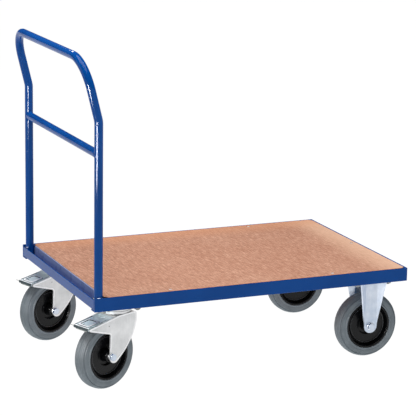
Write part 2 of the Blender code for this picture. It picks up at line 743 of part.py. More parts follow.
def brake_pedal(name, lever, zinc):
    """Pressed pedal: sloping plate with a turned-down lip, two ears and pivot stubs."""
    start = PEDAL_START[0]
    bend = PEDAL_TIP - 0.004
    crest = pedal_height(bend)
    sheet = PEDAL_SHEET
    plate_side = [(start, pedal_height(start)), (bend, crest), (PEDAL_TIP, crest - 0.004),
                  (PEDAL_TIP, crest - PEDAL_LIP), (PEDAL_TIP - sheet, crest - PEDAL_LIP),
                  (PEDAL_TIP - sheet, crest - 0.004), (bend - 0.5 * sheet, crest - sheet),
                  (start, pedal_height(start) - sheet)]
    origin = Vector((PEDAL_PIVOT[0], 0.0, -PEDAL_PIVOT[1]))
    shape = moved(side_slab(plate_side, PEDAL_HALF_WIDTH), *origin)
    pedal = add_object(name, shape, zinc, lever)
    ear = [(0.040, pedal_height(0.040) - 0.001), (0.070, pedal_height(0.070) - 0.001)]
    ear += arc(PEDAL_PIVOT, 0.008, 0.0, -180.0, 6)
    for side in (-1.0, 1.0):
        ear_slab = side_slab(list(reversed(ear)), 0.0013, side * 0.0293)
        shape_with(pedal, "UNION", moved(ear_slab, *origin))
        ends = sorted((side * 0.0290, side * (FORK_HALF_WIDTH - 0.0004)))
        stub = lying_along_y(cylinder(STUB_RADIUS, ends[0], ends[1]))
        shape_with(pedal, "UNION", stub)


def brake_jaw(name, lever, steel):
    """Plate under the pedal whose front tooth grips the tyre, with its spacer rib."""
    end = PEDAL_TIP - 0.001
    drop = 0.0065
    sheet = 0.002
    rib = 0.109
    edge = 0.080
    tooth = 0.0013

    def under(u):
        return pedal_height(u) - PEDAL_SHEET - drop

    outline = [(edge, under(edge)), (rib - 0.002, under(rib - 0.002)),
               (rib - 0.002, under(rib - 0.002) + drop - GAP),
               (rib + 0.002, under(rib + 0.002) + drop - GAP),
               (rib + 0.002, under(rib + 0.002)), (end, under(end)),
               (end, under(end) - sheet), (edge + 0.004, under(edge + 0.004) - sheet),
               (edge + 0.002, under(edge) - sheet - tooth), (edge, under(edge) - sheet - tooth)]
    shape = side_slab(outline, JAW_HALF_WIDTH)
    add_object(name, moved(shape, PEDAL_PIVOT[0], 0.0, -PEDAL_PIVOT[1]), steel, lever)


def brake_spring(name, lever, steel):
    """Return wire under the pedal, turned out sideways past the fork's end."""
    below = PEDAL_SHEET + WIRE_RADIUS + 0.0013
    track = JAW_HALF_WIDTH + 0.0025
    turn = PEDAL_TIP - PEDAL_SHEET - WIRE_RADIUS - 0.0005
    corners = [Vector((-0.075, track, pedal_height(0.075) - below)),
               Vector((-turn, track, pedal_height(turn) - below)),
               Vector((-turn, WIRE_REACH, pedal_height(turn) - below))]
    path = rounded_path(corners, (0.003,), (4,))
    shape = skin(tube_rings(path, WIRE_RADIUS, 8))
    add_object(name, moved(shape, PEDAL_PIVOT[0], 0.0, -PEDAL_PIVOT[1]), steel, lever,
               smooth_angle=50.0)


def swivel_castor(side_name, zinc, nylon, rubber):
    x = REAR_X + SWIVEL_PLACE
    y = SIDES[side_name] * (HALF_WIDTH - SWIVEL_INSET)
    base = add_empty(f"rear_castor_{side_name}", (x, y, 0.0))
    pivot = add_empty(f"rear_pivot_{side_name}", (0.0, 0.0, 0.0), SWIVEL_YAW[side_name], base)
    swivel_head(side_name, base, pivot, zinc)
    fork(f"swivel_fork_{side_name}", pivot, zinc)
    axle_pieces("rear", side_name, pivot, -WHEEL_TRAIL, zinc)
    axle = add_empty(f"rear_axle_{side_name}", (-WHEEL_TRAIL, 0.0, WHEEL_RADIUS), parent=pivot)
    wheel_centre(f"rear_wheel_centre_{side_name}", axle, nylon)
    tyre(f"rear_tyre_{side_name}", axle, rubber)
    lever = add_empty(f"pedal_pivot_{side_name}", (-PEDAL_PIVOT[0], 0.0, PEDAL_PIVOT[1]),
                      parent=pivot)
    brake_pedal(f"brake_pedal_{side_name}", lever, zinc)
    brake_jaw(f"brake_jaw_{side_name}", lever, zinc)
    brake_spring(f"brake_spring_{side_name}", lever, zinc)


# ---- the truck -------------------------------------------------------------------

def build():
    clear_scene()
    paint = make_material("blue_paint", (0.125, 0.282, 0.530), 0.0, 0.30)
    zinc = make_material("zinc_plate", (0.830, 0.845, 0.860), 0.9, 0.35)
    wood = make_material("plywood", (0.800, 0.588, 0.486), 0.0, 0.60)
    nylon = make_material("black_nylon", (0.140, 0.140, 0.150), 0.0, 0.50)
    rubber = make_material("grey_rubber", (0.475, 0.490, 0.510), 0.0, 0.70)

    for name, side in SIDES.items():
        side_rail(f"side_rail_{name}", side, paint)
    front_rail(paint)
    rear_rail(paint)
    deck_end_angle(paint)
    for number, place in enumerate(CROSS_MEMBER_PLACES, 1):
        cross_member(number, place, paint)
    deck_panel(wood)
    for number, (place, y) in enumerate(SCREWS, 1):
        deck_screw(number, place, y, zinc)
    handle_hoop(paint)
    handle_crossbar(paint)
    for name, side in SIDES.items():
        castor_pad(f"castor_pad_rear_{name}", REAR_X + SWIVEL_PLACE, SWIVEL_INSET, side, paint)
        castor_pad(f"castor_pad_front_{name}", REAR_X + FIXED_PLACE, FIXED_INSET, side, paint)
        swivel_castor(name, zinc, nylon, rubber)
        fixed_castor(name, zinc, nylon, rubber)
    bpy.context.view_layer.update()


build()
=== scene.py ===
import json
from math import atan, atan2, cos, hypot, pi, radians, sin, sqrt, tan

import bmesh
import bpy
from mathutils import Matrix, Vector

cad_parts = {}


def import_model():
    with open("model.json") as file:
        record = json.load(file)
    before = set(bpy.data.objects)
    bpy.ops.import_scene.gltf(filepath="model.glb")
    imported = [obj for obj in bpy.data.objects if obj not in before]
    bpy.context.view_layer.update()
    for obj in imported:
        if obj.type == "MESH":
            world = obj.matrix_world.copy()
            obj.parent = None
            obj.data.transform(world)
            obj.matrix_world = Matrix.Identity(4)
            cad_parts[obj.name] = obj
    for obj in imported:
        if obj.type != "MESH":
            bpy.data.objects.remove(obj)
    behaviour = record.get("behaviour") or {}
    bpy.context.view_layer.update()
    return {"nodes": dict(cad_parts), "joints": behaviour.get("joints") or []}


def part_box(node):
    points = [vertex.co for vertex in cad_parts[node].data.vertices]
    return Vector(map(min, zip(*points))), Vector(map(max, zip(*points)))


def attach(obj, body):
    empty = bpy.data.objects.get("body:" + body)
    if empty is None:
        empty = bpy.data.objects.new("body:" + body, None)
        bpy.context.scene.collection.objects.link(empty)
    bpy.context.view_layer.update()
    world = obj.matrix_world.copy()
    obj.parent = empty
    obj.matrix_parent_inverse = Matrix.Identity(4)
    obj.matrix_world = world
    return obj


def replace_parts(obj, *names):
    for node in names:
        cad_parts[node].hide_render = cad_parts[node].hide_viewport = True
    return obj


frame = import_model()

# Looks of the flatbed platform truck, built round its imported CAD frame.
#
# Lengths are in metres in the CAD's own frame: +X to the front, +Y to the truck's left, +Z up.
# A swivel castor's pieces are drawn in its own frame, whose origin is on the ground under the
# swivel pin, with the wheel trailing towards local -X; a fixed castor's origin is on the ground
# under its axle. Wheels and axle pieces are drawn round the axle's centre, along local Y.

JOINTS = {joint["name"]: joint for joint in frame["joints"]}
RAIL_LOW, RAIL_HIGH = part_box("side_rail_right")
REAR_X = RAIL_LOW.x
HALF_WIDTH = -RAIL_LOW.y
DECK_TOP = RAIL_HIGH.z
PANEL_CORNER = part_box("deck_panel")[1]
SIDES = (("left", 1.0), ("right", -1.0))

# Push hoop
CROSSBAR_HEIGHT = 0.5 * sum(corner.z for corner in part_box("handle_crossbar"))
TUBE_RADIUS = 0.0125
HOOP_INSET = 0.0175
HOOP_X = REAR_X + HOOP_INSET
HOOP_Y = HALF_WIDTH - HOOP_INSET
HOOP_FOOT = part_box("handle_hoop")[0].z
HOOP_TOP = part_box("handle_hoop")[1].z - TUBE_RADIUS
HOOP_KINK = 0.792
HOOP_LEAN = radians(14.0)
KINK_BEND = 0.06
TOP_BEND = 0.088

# Castors
GAP = 0.0003  # between pieces that lie on each other
SHEET = 0.004
TRAIL = 0.043
FORK_HALF = 0.036
CROWN_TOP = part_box("swivel_fork_right")[1].z
CROWN_END = 0.022
PLATE_LOW, PLATE_HIGH = (corner.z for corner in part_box("swivel_plate_right"))
NUT_SIZE = 0.019
STRIP_HALF = 0.021

# Brake pedal: places are (distance behind the pin, distance across)
PEDAL_HALF = 0.0315
PEDAL_ROOT = 0.036
PEDAL_TIP = 0.132
PEDAL_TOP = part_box("brake_pedal_right")[1].z
PEDAL_SLOPE = 0.17
PEDAL_SHEET = 0.0025
PEDAL_HOLE = (0.1135, 0.007)


# ---- mesh tools ----

def ring(radius, height, count):
    """Points round a circle that lies flat at a height."""
    return [Vector((x, y, height)) for x, y in arc((0.0, 0.0), radius, 0.0, 360.0, count)[:-1]]


def skin(sections, wrap=False):
    """Closed surface through rings of equal size, capped or joined end to end."""
    shape = bmesh.new()
    rings = [[shape.verts.new(point) for point in section] for section in sections]
    count = len(rings[0])
    pairs = list(zip(rings, rings[1:]))
    if wrap:
        pairs.append((rings[-1], rings[0]))
    for first, second in pairs:
        for k in range(count):
            after = (k + 1) % count
            shape.faces.new((first[k], first[after], second[after], second[k]))
    if not wrap:
        shape.faces.new(rings[0])
        shape.faces.new(list(reversed(rings[-1])))
    return shape


def lathe(profile, steps, about="Y"):
    """Ring turned from a closed profile of (radius, distance along the axis)."""
    sections = []
    for k in range(steps):
        angle = 2.0 * pi * k / steps
        c, s = cos(angle), sin(angle)
        if about == "Y":
            sections.append([Vector((r * c, h, r * s)) for r, h in profile])
        else:
            sections.append([Vector((r * c, r * s, h)) for r, h in profile])
    return skin(sections, wrap=True)


def solid_lathe(profile, steps):
    """Solid turned round Z from (radius, height), from its lowest ring to its highest."""
    return skin([ring(r, h, steps) for r, h in profile])


def mirrored(half):
    """Both halves of a profile, whose second half mirrors the first."""
    return half + [(r, -y) for r, y in reversed(half)]


def smooth_profile(points, steps=3):
    """Catmull-Rom curve through a profile's points."""
    curve = []
    padded = [points[0]] + list(points) + [points[-1]]
    for a, b, c, d in zip(padded, padded[1:], padded[2:], padded[3:]):
        for k in range(steps):
            t = k / steps
            curve.append(tuple(
                0.5 * (2.0 * q + (r - p) * t + (2.0 * p - 5.0 * q + 4.0 * r - s) * t * t
                       + (3.0 * q - p - 3.0 * r + s) * t ** 3)
                for p, q, r, s in zip(a, b, c, d)))
    curve.append(points[-1])
    return curve


def arc(centre, radius, start, end, steps):
    """Points along an arc between two angles in degrees."""
    points = []
    for k in range(steps + 1):
        angle = radians(start + (end - start) * k / steps)
        points.append((centre[0] + radius * cos(angle), centre[1] + radius * sin(angle)))
    return points


def bend_curve(start, control, end, steps):
    """Inner points of a curve that leaves each end towards a control point."""
    points = []
    for k in range(1, steps):
        t = k / steps
        weights = ((1.0 - t) ** 2, 2.0 * t * (1.0 - t), t * t)
        points.append(tuple(weights[0] * a + weights[1] * b + weights[2] * c
                            for a, b, c in zip(start, control, end)))
    return points


def slab(outline, half_width, centre=0.0):
    """Slab from an outline of (distance behind the pin, height), extruded along Y."""
    return skin([[Vector((-u, centre + side * half_width, z)) for u, z in outline]
                 for side in (-1.0, 1.0)])


def rounded_rectangle(length, width, radius, steps):
    """Outline centred on the origin."""
    points = []
    for corner in range(4):
        sign_x = 1.0 if corner in (0, 3) else -1.0
        sign_y = 1.0 if corner in (0, 1) else -1.0
        centre = (sign_x * (0.5 * length - radius), sign_y * (0.5 * width - radius))
        points += arc(centre, radius, 90.0 * corner, 90.0 * corner + 90.0, steps)
    return points


def rounded_path(corners, radii, steps):
    """Route through corners, each replaced by a bend of its own radius."""
    path = [corners[0]]
    for before, corner, after, radius, count in zip(
            corners, corners[1:], corners[2:], radii, steps):
        back = (before - corner).normalized()
        ahead = (after - corner).normalized()
        half = 0.5 * back.angle(ahead)
        centre = corner + (back + ahead).normalized() * radius / sin(half)
        start = corner + back * radius / tan(half) - centre
        end = corner + ahead * radius / tan(half) - centre
        turn = start.angle(end)
        for k in range(count + 1):
            part = turn * k / count
            path.append(centre + (start * sin(turn - part) + end * sin(part)) / sin(turn))
    path.append(corners[-1])
    return path


def tube(path, radii, sides, closed=False):
    """Tube round a path, with one radius for each of its points."""
    if closed:
        steps = [(b - a).normalized() for a, b in zip(path, path[1:] + path[:1])]
        tangents = [(a + b).normalized() for a, b in zip([steps[-1]] + steps, steps)]
    else:
        steps = [(b - a).normalized() for a, b in zip(path, path[1:])]
        inner = [(a + b).normalized() for a, b in zip(steps, steps[1:])]
        tangents = [steps[0]] + inner + [steps[-1]]
    normal = tangents[0].orthogonal().normalized()
    sections = []
    for k, (point, tangent, radius) in enumerate(zip(path, tangents, radii)):
        if k:
            normal = tangents[k - 1].rotation_difference(tangent) @ normal
        other = tangent.cross(normal)
        sections.append([point + radius * (cos(2.0 * pi * s / sides) * normal
                                           + sin(2.0 * pi * s / sides) * other)
                         for s in range(sides)])
    return skin(sections, wrap=closed)


def weld_bead(path, radius, closed=False):
    """Rippled bead laid along a path, thinner at its open ends."""
    ripple_depth, ripple_points, end_width, growth = 0.16, 4.0, 0.55, 0.25
    radii = []
    for k in range(len(path)):
        ripple = 1.0 + ripple_depth * sin(2.0 * pi * k / ripple_points)
        fade = 1.0 if closed else min(1.0, end_width + growth * min(k, len(path) - 1 - k))
        radii.append(radius * ripple * fade)
    return tube(path, radii, 10, closed)


def put(name, data):
    """New object in the scene."""
    item = bpy.data.objects.new(name, data)
    bpy.context.scene.collection.objects.link(item)
    return item


def temporary(shape):
    """Object with two empty material slots, for the time of a cut."""
    mesh = bpy.data.meshes.new("temporary")
    bmesh.ops.recalc_face_normals(shape, faces=shape.faces)
    shape.to_mesh(mesh)
    shape.free()
    mesh.materials.append(None)
    mesh.materials.append(None)
    return put("temporary", mesh)


def carve(shape, *cutters):
    """Shape with the cutters' volumes removed."""
    body = temporary(shape)
    tools = [temporary(cutter) for cutter in cutters]
    for tool in tools:
        modifier = body.modifiers.new("cut", "BOOLEAN")
        modifier.operation = "DIFFERENCE"
        modifier.solver = "EXACT"
        modifier.object = tool
    bpy.context.view_layer.update()
    result = body.evaluated_get(bpy.context.evaluated_depsgraph_get()).to_mesh()
    carved = bmesh.new()
    carved.from_mesh(result)
    for item in [body] + tools:
        mesh = item.data
        bpy.data.objects.remove(item)
        bpy.data.meshes.remove(mesh)
    return carved


def soften(shape, chosen, width, segments):
    """Round those edges of a shape that the test picks out."""
    edges = [edge for edge in shape.edges if chosen(edge)]
    bmesh.ops.bevel(shape, geom=edges, offset=width, segments=segments, profile=0.5,
                    affect="EDGES", clamp_overlap=True)


def thickened(sheet, thickness):
    """Closed solid from an open sheet, half the thickness on each side of it."""
    bmesh.ops.recalc_face_normals(sheet, faces=sheet.faces)
    sheet.normal_update()
    verts = list(sheet.verts)
    faces = [tuple(face.verts) for face in sheet.faces]
    rim = [tuple(edge.verts) for edge in sheet.edges if edge.is_boundary]
    lower = {}
    for vert in verts:
        lower[vert] = sheet.verts.new(vert.co - 0.5 * thickness * vert.normal)
    for vert in verts:
        vert.co += 0.5 * thickness * vert.normal
    for face in faces:
        sheet.faces.new([lower[vert] for vert in reversed(face)])
    for first, second in rim:
        sheet.faces.new((first, second, lower[second], lower[first]))
    return sheet


def grid_sheet(rows):
    """Open sheet through rows of points."""
    shape = bmesh.new()
    verts = [[shape.verts.new(point) for point in row] for row in rows]
    for above, below in zip(verts, verts[1:]):
        for k in range(len(above) - 1):
            shape.faces.new((above[k], above[k + 1], below[k + 1], below[k]))
    return shape


def add_piece(name, shape, material, body, place=None, sharp=35.0, bevel=0.0, segments=3,
              rim=None, extra=()):
    """Turn a finished shape into a named piece that rides on a CAD body.

    Edges over `sharp` degrees stay sharp or get a bevel, whose faces take the `rim` material.
    """
    bmesh.ops.recalc_face_normals(shape, faces=shape.faces)
    mesh = bpy.data.meshes.new(name)
    shape.to_mesh(mesh)
    shape.free()
    if place:
        mesh.transform(place)
    mesh.shade_smooth()
    mesh.set_sharp_from_angle(angle=radians(sharp))
    for finish in (material, rim, *extra):
        if finish:
            mesh.materials.append(finish)
    item = put(name, mesh)
    if bevel:
        modifier = item.modifiers.new("rounded", "BEVEL")
        modifier.width = bevel
        modifier.segments = segments
        modifier.limit_method = "ANGLE"
        modifier.angle_limit = radians(sharp)
        modifier.miter_outer = "MITER_ARC"
        if rim:
            modifier.material = 1
        normals = item.modifiers.new("normals", "WEIGHTED_NORMAL")
        normals.keep_sharp = False
    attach(item, body)
    return item


def stand_in(node, ending, *details, **edges):
    """Piece that is named after a CAD node and replaces it."""
    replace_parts(add_piece(f"{node}_{ending}", *details, **edges), node)


def cad_shape(node):
    """A CAD node's own shape, with its flat faces whole again."""
    shape = bmesh.new()
    shape.from_mesh(frame["nodes"][node].data)
    same_place, same_plane = 0.00001, radians(1.0)
    bmesh.ops.remove_doubles(shape, verts=shape.verts, dist=same_place)
    bmesh.ops.dissolve_limit(shape, angle_limit=same_plane, verts=shape.verts, edges=shape.edges)
    return shape


def rounded_copy(node, material, body, bevel, segments=2, rim=None):
    """Piece in a CAD node's own shape, with its edges rounded as rolling leaves them."""
    stand_in(node, "rounded", cad_shape(node), material, body, None, 28.0, bevel, segments, rim)


# ---- materials ----


def linear(value):
    """Linear light from a display value between 0 and 1."""
    if value <= 0.04045:
        return value / 12.92
    return ((value + 0.055) / 1.055) ** 2.4


def colour(red, green, blue):
    """Linear colour from display values out of 255."""
    return (linear(red / 255.0), linear(green / 255.0), linear(blue / 255.0), 1.0)


class Nodes:
    """Short ways to build a node tree."""

    def __init__(self, tree):
        self.tree = tree

    def link(self, source, target):
        self.tree.links.new(source, target)

    def feed(self, socket, value):
        """Give a socket a number, display values for a colour, or another socket's output."""
        if isinstance(value, tuple):
            socket.default_value = colour(*value)
        elif isinstance(value, float):
            socket.default_value = value
        else:
            self.link(value, socket)

    def node(self, kind, **inputs):
        """New shader node with values for some of its inputs."""
        node = self.tree.nodes.new(f"ShaderNode{kind}")
        for name, value in inputs.items():
            node.inputs[name].default_value = value
        return node

    def part(self, vector, axis):
        """One coordinate of a vector."""
        node = self.node("SeparateXYZ")
        self.link(vector, node.inputs["Vector"])
        return node.outputs[axis]


class Surface(Nodes):
    """Principled material with short ways to add detail; its slot argument is not used."""

    def __init__(self, name, slot, metallic, roughness, specular=0.5):
        self.material = bpy.data.materials.new(name)
        self.material.use_nodes = True
        super().__init__(self.material.node_tree)
        self.shader = self.tree.nodes["Principled BSDF"]
        for name, value in (("Metallic", metallic), ("Roughness", roughness),
                            ("Specular IOR Level", specular)):
            self.shader.inputs[name].default_value = value
        self.place = self.node("TexCoord").outputs["Object"]
        self.height = None

    def stretched(self, scale, turn=0.0):
        """Coordinates turned about Z by some degrees, then scaled along each axis."""
        node = self.node("Mapping", Scale=[1.0 / factor for factor in scale],
                         Rotation=(0.0, 0.0, radians(turn)))
        node.vector_type = "TEXTURE"
        self.link(self.place, node.inputs["Vector"])
        return node.outputs["Vector"]

    def noise(self, scale, detail=3.0, vector=None, rough=0.5, distortion=0.0):
        node = self.node("TexNoise", Scale=scale, Detail=detail, Roughness=rough,
                         Distortion=distortion)
        self.link(vector or self.place, node.inputs["Vector"])
        return node.outputs["Fac"]

    def ramp(self, factor, stops):
        """Colours or shades of grey, each with its place along the factor."""
        node = self.node("ValToRGB")
        elements = node.color_ramp.elements
        while len(elements) < len(stops):
            elements.new(0.5)
        for element, (position, value) in zip(elements, stops):
            element.position = position
            element.color = colour(*value) if isinstance(value, tuple) else [value] * 3 + [1.0]
        self.link(factor, node.inputs["Fac"])
        return node.outputs["Color"]

    def mix(self, factor, first, second, mode="MIX"):
        """Mix of two colours, whose sockets have the indices 6 and 7."""
        node = self.node("Mix")
        node.data_type = "RGBA"
        node.blend_type = mode
        for index, value in ((0, factor), (6, first), (7, second)):
            self.feed(node.inputs[index], value)
        return node.outputs[2]

    def math(self, operation, first, second=0.0):
        node = self.node("Math")
        node.operation = operation
        for socket, value in zip(node.inputs, (first, second)):
            self.feed(socket, value)
        return node.outputs[0]

    def beyond(self, vector, axis, limit):
        """1 where a coordinate is further from 0 than a limit, 0 elsewhere."""
        size = self.math("ABSOLUTE", self.part(vector, axis))
        return self.math("GREATER_THAN", size, limit)

    def fade(self, axis, start, end, amount):
        """0 before a place along an axis, rising smoothly to an amount after it."""
        node = self.node("MapRange", **{"From Min": start, "From Max": end, "To Max": amount})
        node.interpolation_type = "SMOOTHSTEP"
        self.link(self.part(self.place, axis), node.inputs["Value"])
        return node.outputs["Result"]

    def base(self, source):
        self.link(source, self.shader.inputs["Base Color"])

    def roughness(self, source):
        self.link(source, self.shader.inputs["Roughness"])

    def bump(self, source, strength, distance):
        node = self.node("Bump", Strength=strength, Distance=distance)
        self.link(source, node.inputs["Height"])
        if self.height:
            self.link(self.height, node.inputs["Normal"])
        self.height = node.outputs["Normal"]
        self.link(self.height, self.shader.inputs["Normal"])


def blue_paint(name, dark, light, roughness=0.2, peel=1.0):
    """Glossy powder coat: faint orange peel and slow changes of shade."""
    paint = Surface(name, "blue_paint", 0.0, roughness, 0.12)
    shade = paint.noise(7.0, 4.0)
    paint.base(paint.ramp(shade, [(0.3, dark), (0.72, light)]))
    paint.roughness(paint.ramp(paint.noise(38.0, 5.0), [(0.3, 0.8 * roughness),
                                                       (0.75, 1.2 * roughness)]))
    paint.bump(paint.noise(520.0, 2.0), 0.06 * peel, 0.0003)
    paint.bump(paint.noise(60.0, 2.0), 0.04 * peel, 0.0008)
    return paint.material


def zinc_plate(name, dark, light, roughness=0.36, metallic=0.9):
    """Bright zinc with faint drawing streaks and uneven passivation."""
    zinc = Surface(name, "zinc_plate", metallic, roughness)
    cloud = zinc.noise(16.0, 5.0, rough=0.6)
    streak = zinc.noise(1.0, 4.0, zinc.stretched((260.0, 260.0, 22.0)))
    tone = zinc.mix(0.15, cloud, streak)
    zinc.base(zinc.ramp(tone, [(0.32, dark), (0.68, light)]))
    low, high = 0.8 * roughness, 1.25 * roughness
    zinc.roughness(zinc.ramp(zinc.noise(90.0, 4.0), [(0.3, low), (0.7, high)]))
    zinc.bump(streak, 0.03, 0.0004)
    return zinc.material


def weld_with_painted_glints():
    """Blue-painted weld: white spots of painted glint between near-black and mid blue."""
    weld = Surface("weld_with_painted_glints", "blue_paint", 0.2, 0.3)
    glint_spots = weld.noise(330.0, 1.0)
    weld.base(weld.ramp(glint_spots, [(0.44, (6, 18, 52)), (0.52, (40, 90, 160)),
                                (0.6, (240, 244, 246))]))
    weld.bump(glint_spots, 0.3, 0.0005)
    return weld.material


def plywood():
    """Resin-faced panel, paler towards its front end and warmer towards its left side, with a
    painted highlight along its long edges and veneer at its edges.
    """
    end_band, highlight_strip = 0.13, 0.0036
    wood = Surface("deck_plywood", "plywood", 0.0, 0.65, 0.05)
    grain = wood.noise(6.0, 4.0, wood.stretched((98.0, 6.5, 60.0), 7.0), 0.7, 0.15)
    pores = wood.noise(6.0, 3.0, wood.stretched((130.0, 11.0, 40.0), 9.0), 0.6)
    blotch = wood.noise(5.5, 3.0, distortion=0.4)
    ground = wood.ramp(grain, [(0.3, (140, 88, 66)), (0.5, (193, 142, 118)),
                               (0.7, (240, 196, 171))])
    slow = wood.ramp(blotch, [(0.3, (182, 128, 104)), (0.7, (208, 161, 137))])
    face = wood.mix(0.22, ground, slow)
    dark = wood.ramp(pores, [(0.34, 0.55), (0.47, 1.0)])
    face = wood.mix(0.6, face, wood.mix(1.0, face, dark, "MULTIPLY"))
    paler_front = wood.fade("X", PANEL_CORNER.x - end_band, PANEL_CORNER.x, 0.62)
    face = wood.mix(paler_front, face, (244, 202, 172))
    warm = wood.fade("Y", PANEL_CORNER.y - end_band, PANEL_CORNER.y, 0.5)
    face = wood.mix(warm, face, (222, 158, 120))
    # A thin strip along both long edges is painted light orange: a painted highlight of the
    # rounded edge.
    highlight_border = wood.math("MULTIPLY", wood.beyond(wood.place, "Y", PANEL_CORNER.y - highlight_strip), 0.7)
    face = wood.mix(highlight_border, face, (232, 160, 112))
    layers = wood.noise(1.0, 0.0, wood.stretched((2.0, 2.0, 520.0)))
    edge = wood.ramp(layers, [(0.42, (120, 82, 58)), (0.58, (196, 152, 112))])
    normal = wood.node("NewGeometry").outputs["Normal"]
    flat = wood.beyond(normal, "Z", 0.7)
    wood.base(wood.mix(flat, edge, face))
    wood.roughness(wood.ramp(grain, [(0.3, 0.74), (0.7, 0.6)]))
    wood.bump(grain, 0.05, 0.0004)
    wood.bump(pores, 0.08, 0.0003)
    return wood.material


def moulded(name, slot, dark, light, roughness, specular, grain, depth):
    """Moulded plastic or rubber: mottled tone and a fine matt grain."""
    surface = Surface(name, slot, 0.0, roughness, specular)
    surface.base(surface.ramp(surface.noise(22.0, 5.0, rough=0.6), [(0.3, dark), (0.7, light)]))
    surface.roughness(surface.ramp(surface.noise(70.0, 4.0),
                                   [(0.3, roughness - 0.06), (0.7, roughness + 0.08)]))
    surface.bump(surface.noise(grain, 3.0), depth, 0.0003)
    return surface.material


PAINT = blue_paint("truck_blue", (2, 68, 142), (7, 77, 156))
TUBE_PAINT = blue_paint("tube_blue", (4, 68, 141), (10, 78, 156), 0.1, 0.02)
# The end angle's blue is lighter and greyer than the truck's: a painted reflection of the bright
# room on its top face.
STRIP_REFLECTION_PAINT = blue_paint("strip_blue_painted_reflection", (152, 166, 208), (162, 176, 216), 0.3)
ZINC = zinc_plate("bright_zinc", (198, 200, 201), (230, 231, 232))
ZINC_BLUE = zinc_plate("bluish_zinc", (186, 200, 218), (224, 230, 240))
# Near-white zinc: the real colour of the screws and washers, and a painted edge highlight on the
# bevels and fork borders that take it as their rim.
ZINC_AND_EDGE_HIGHLIGHT = zinc_plate("polished_zinc_and_edge_highlight", (244, 246, 248), (255, 255, 255), 0.34, 0.5)
DULL_ZINC = zinc_plate("dull_zinc", (120, 122, 120), (176, 178, 176), 0.42)
TEAL_ZINC = zinc_plate("teal_zinc", (190, 212, 216), (238, 243, 245), 0.5, 0.3)
WELD = weld_with_painted_glints()
# Dark zinc on the pedal's outlines and lip front: painted shade.
SHADE_ZINC = zinc_plate("shadowed_zinc", (24, 40, 46), (58, 78, 84), 0.4, 0.2)
# Darker blue zinc along the fixed legs' creases: painted shade.
CREASE_SHADE = zinc_plate("shaded_crease", (104, 134, 172), (142, 166, 196), 0.4, 0.4)
# Near-white zinc on the pedal's raised frame and the lip's top edge: a painted highlight.
PEDAL_HIGHLIGHT = zinc_plate("pressed_frame_painted_highlight", (240, 243, 246), (254, 254, 255), 0.6, 0.0)
# Blue on the hexagons' flanks: a painted reflection.
FLANK_REFLECTION = zinc_plate("nut_flank_painted_reflection", (34, 66, 106), (88, 118, 152), 0.6, 0.1)
WOOD = plywood()
NYLON = moulded("black_nylon_face", "black_nylon", (12, 13, 15), (21, 22, 25), 0.24, 0.2,
                900.0, 0.06)
# Lighter nylon on the wheel centre's lip ring: a painted highlight.
LIP_HIGHLIGHT = moulded("nylon_lip_painted_highlight", "black_nylon", (56, 58, 61), (84, 86, 90), 0.18, 0.6, 900.0, 0.03)
RUBBER = moulded("grey_rubber_tread", "grey_rubber", (106, 116, 123), (126, 136, 143),
                 0.58, 0.3, 1100.0, 0.1)
SIDEWALL = moulded("grey_rubber_side", "grey_rubber", (114, 124, 131), (134, 144, 151),
                   0.52, 0.35, 1100.0, 0.08)
# Near-black in the pedal's sunk hole mark: painted shade.
HOLE_SHADE = moulded("recess_painted_shade", "zinc_plate", (10, 10, 12), (16, 16, 18), 0.7, 0.2, 900.0, 0.05)


# ---- frame and deck ----

def frame_and_deck():
    for node in ("side_rail_left", "side_rail_right", "front_rail", "rear_rail"):
        rounded_copy(node, PAINT, "frame", bevel=0.0008, segments=3)
    rounded_copy("deck_end_angle", STRIP_REFLECTION_PAINT, "frame", bevel=0.0006, segments=3)
    for number in range(1, 6):
        rounded_copy(f"cross_member_{number}", PAINT, "frame", bevel=0.0006)
    for side in ("left", "right"):
        for end in ("rear", "front"):
            castor_pad(f"castor_pad_{end}_{side}")
    rounded_copy("deck_panel", WOOD, "frame", bevel=0.0007)


def castor_pad(node):
    """Painted pad with plain zinc studs and nuts under it."""
    pad_underside = RAIL_LOW.z - 0.0002
    shape = cad_shape(node)
    for face in shape.faces:
        if face.calc_center_median().z < pad_underside:
            face.material_index = 1
    stand_in(node, "rounded", shape, PAINT, "frame", sharp=28.0, bevel=0.0005, segments=2,
             extra=(DULL_ZINC,))


def screw_head(number):
    """Countersunk screw with a cross recess, turned to an angle of its own."""
    tip, head, pitch = 0.003, 0.005, 0.0018
    low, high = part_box(f"deck_screw_{number}")
    centre = 0.5 * (low + high)
    radius = 0.5 * (high.x - low.x)
    shank = 0.42 * radius
    crest = 1.18 * shank
    profile = [(0.5 * shank, low.z), (shank, low.z + 0.002)]
    height = low.z + tip
    while height < high.z - head:
        profile += [(shank, height), (crest, height + pitch / 3.0),
                    (shank, height + pitch * 2.0 / 3.0)]
        height += pitch
    profile += [(shank, high.z - 0.003), (radius, high.z - 0.0004),
                (0.97 * radius, high.z - 0.0001), (0.9 * radius, high.z)]
    shape = solid_lathe(profile, 28)
    recess_bottom = (0.0012, 0.0003, high.z - 0.0022)
    recess_top = (0.0026, 0.0006, high.z + 0.0004)
    first_turn = 20.0 + 31.0 * number
    cutters = []
    for turn in (first_turn, first_turn + 90.0):
        cutter = skin([[Vector((sx * reach, sy * half, height)) for sx, sy in
                        ((-1, -1), (1, -1), (1, 1), (-1, 1))]
                       for reach, half, height in (recess_bottom, recess_top)])
        cutter.transform(Matrix.Rotation(radians(turn), 4, "Z"))
        cutters.append(cutter)
    shape = carve(shape, *cutters)
    shape.transform(Matrix.Translation((centre.x, centre.y, 0.0)))
    stand_in(f"deck_screw_{number}", "cross_head", shape, ZINC_AND_EDGE_HIGHLIGHT, "frame", sharp=30.0)


# ---- push hoop ----

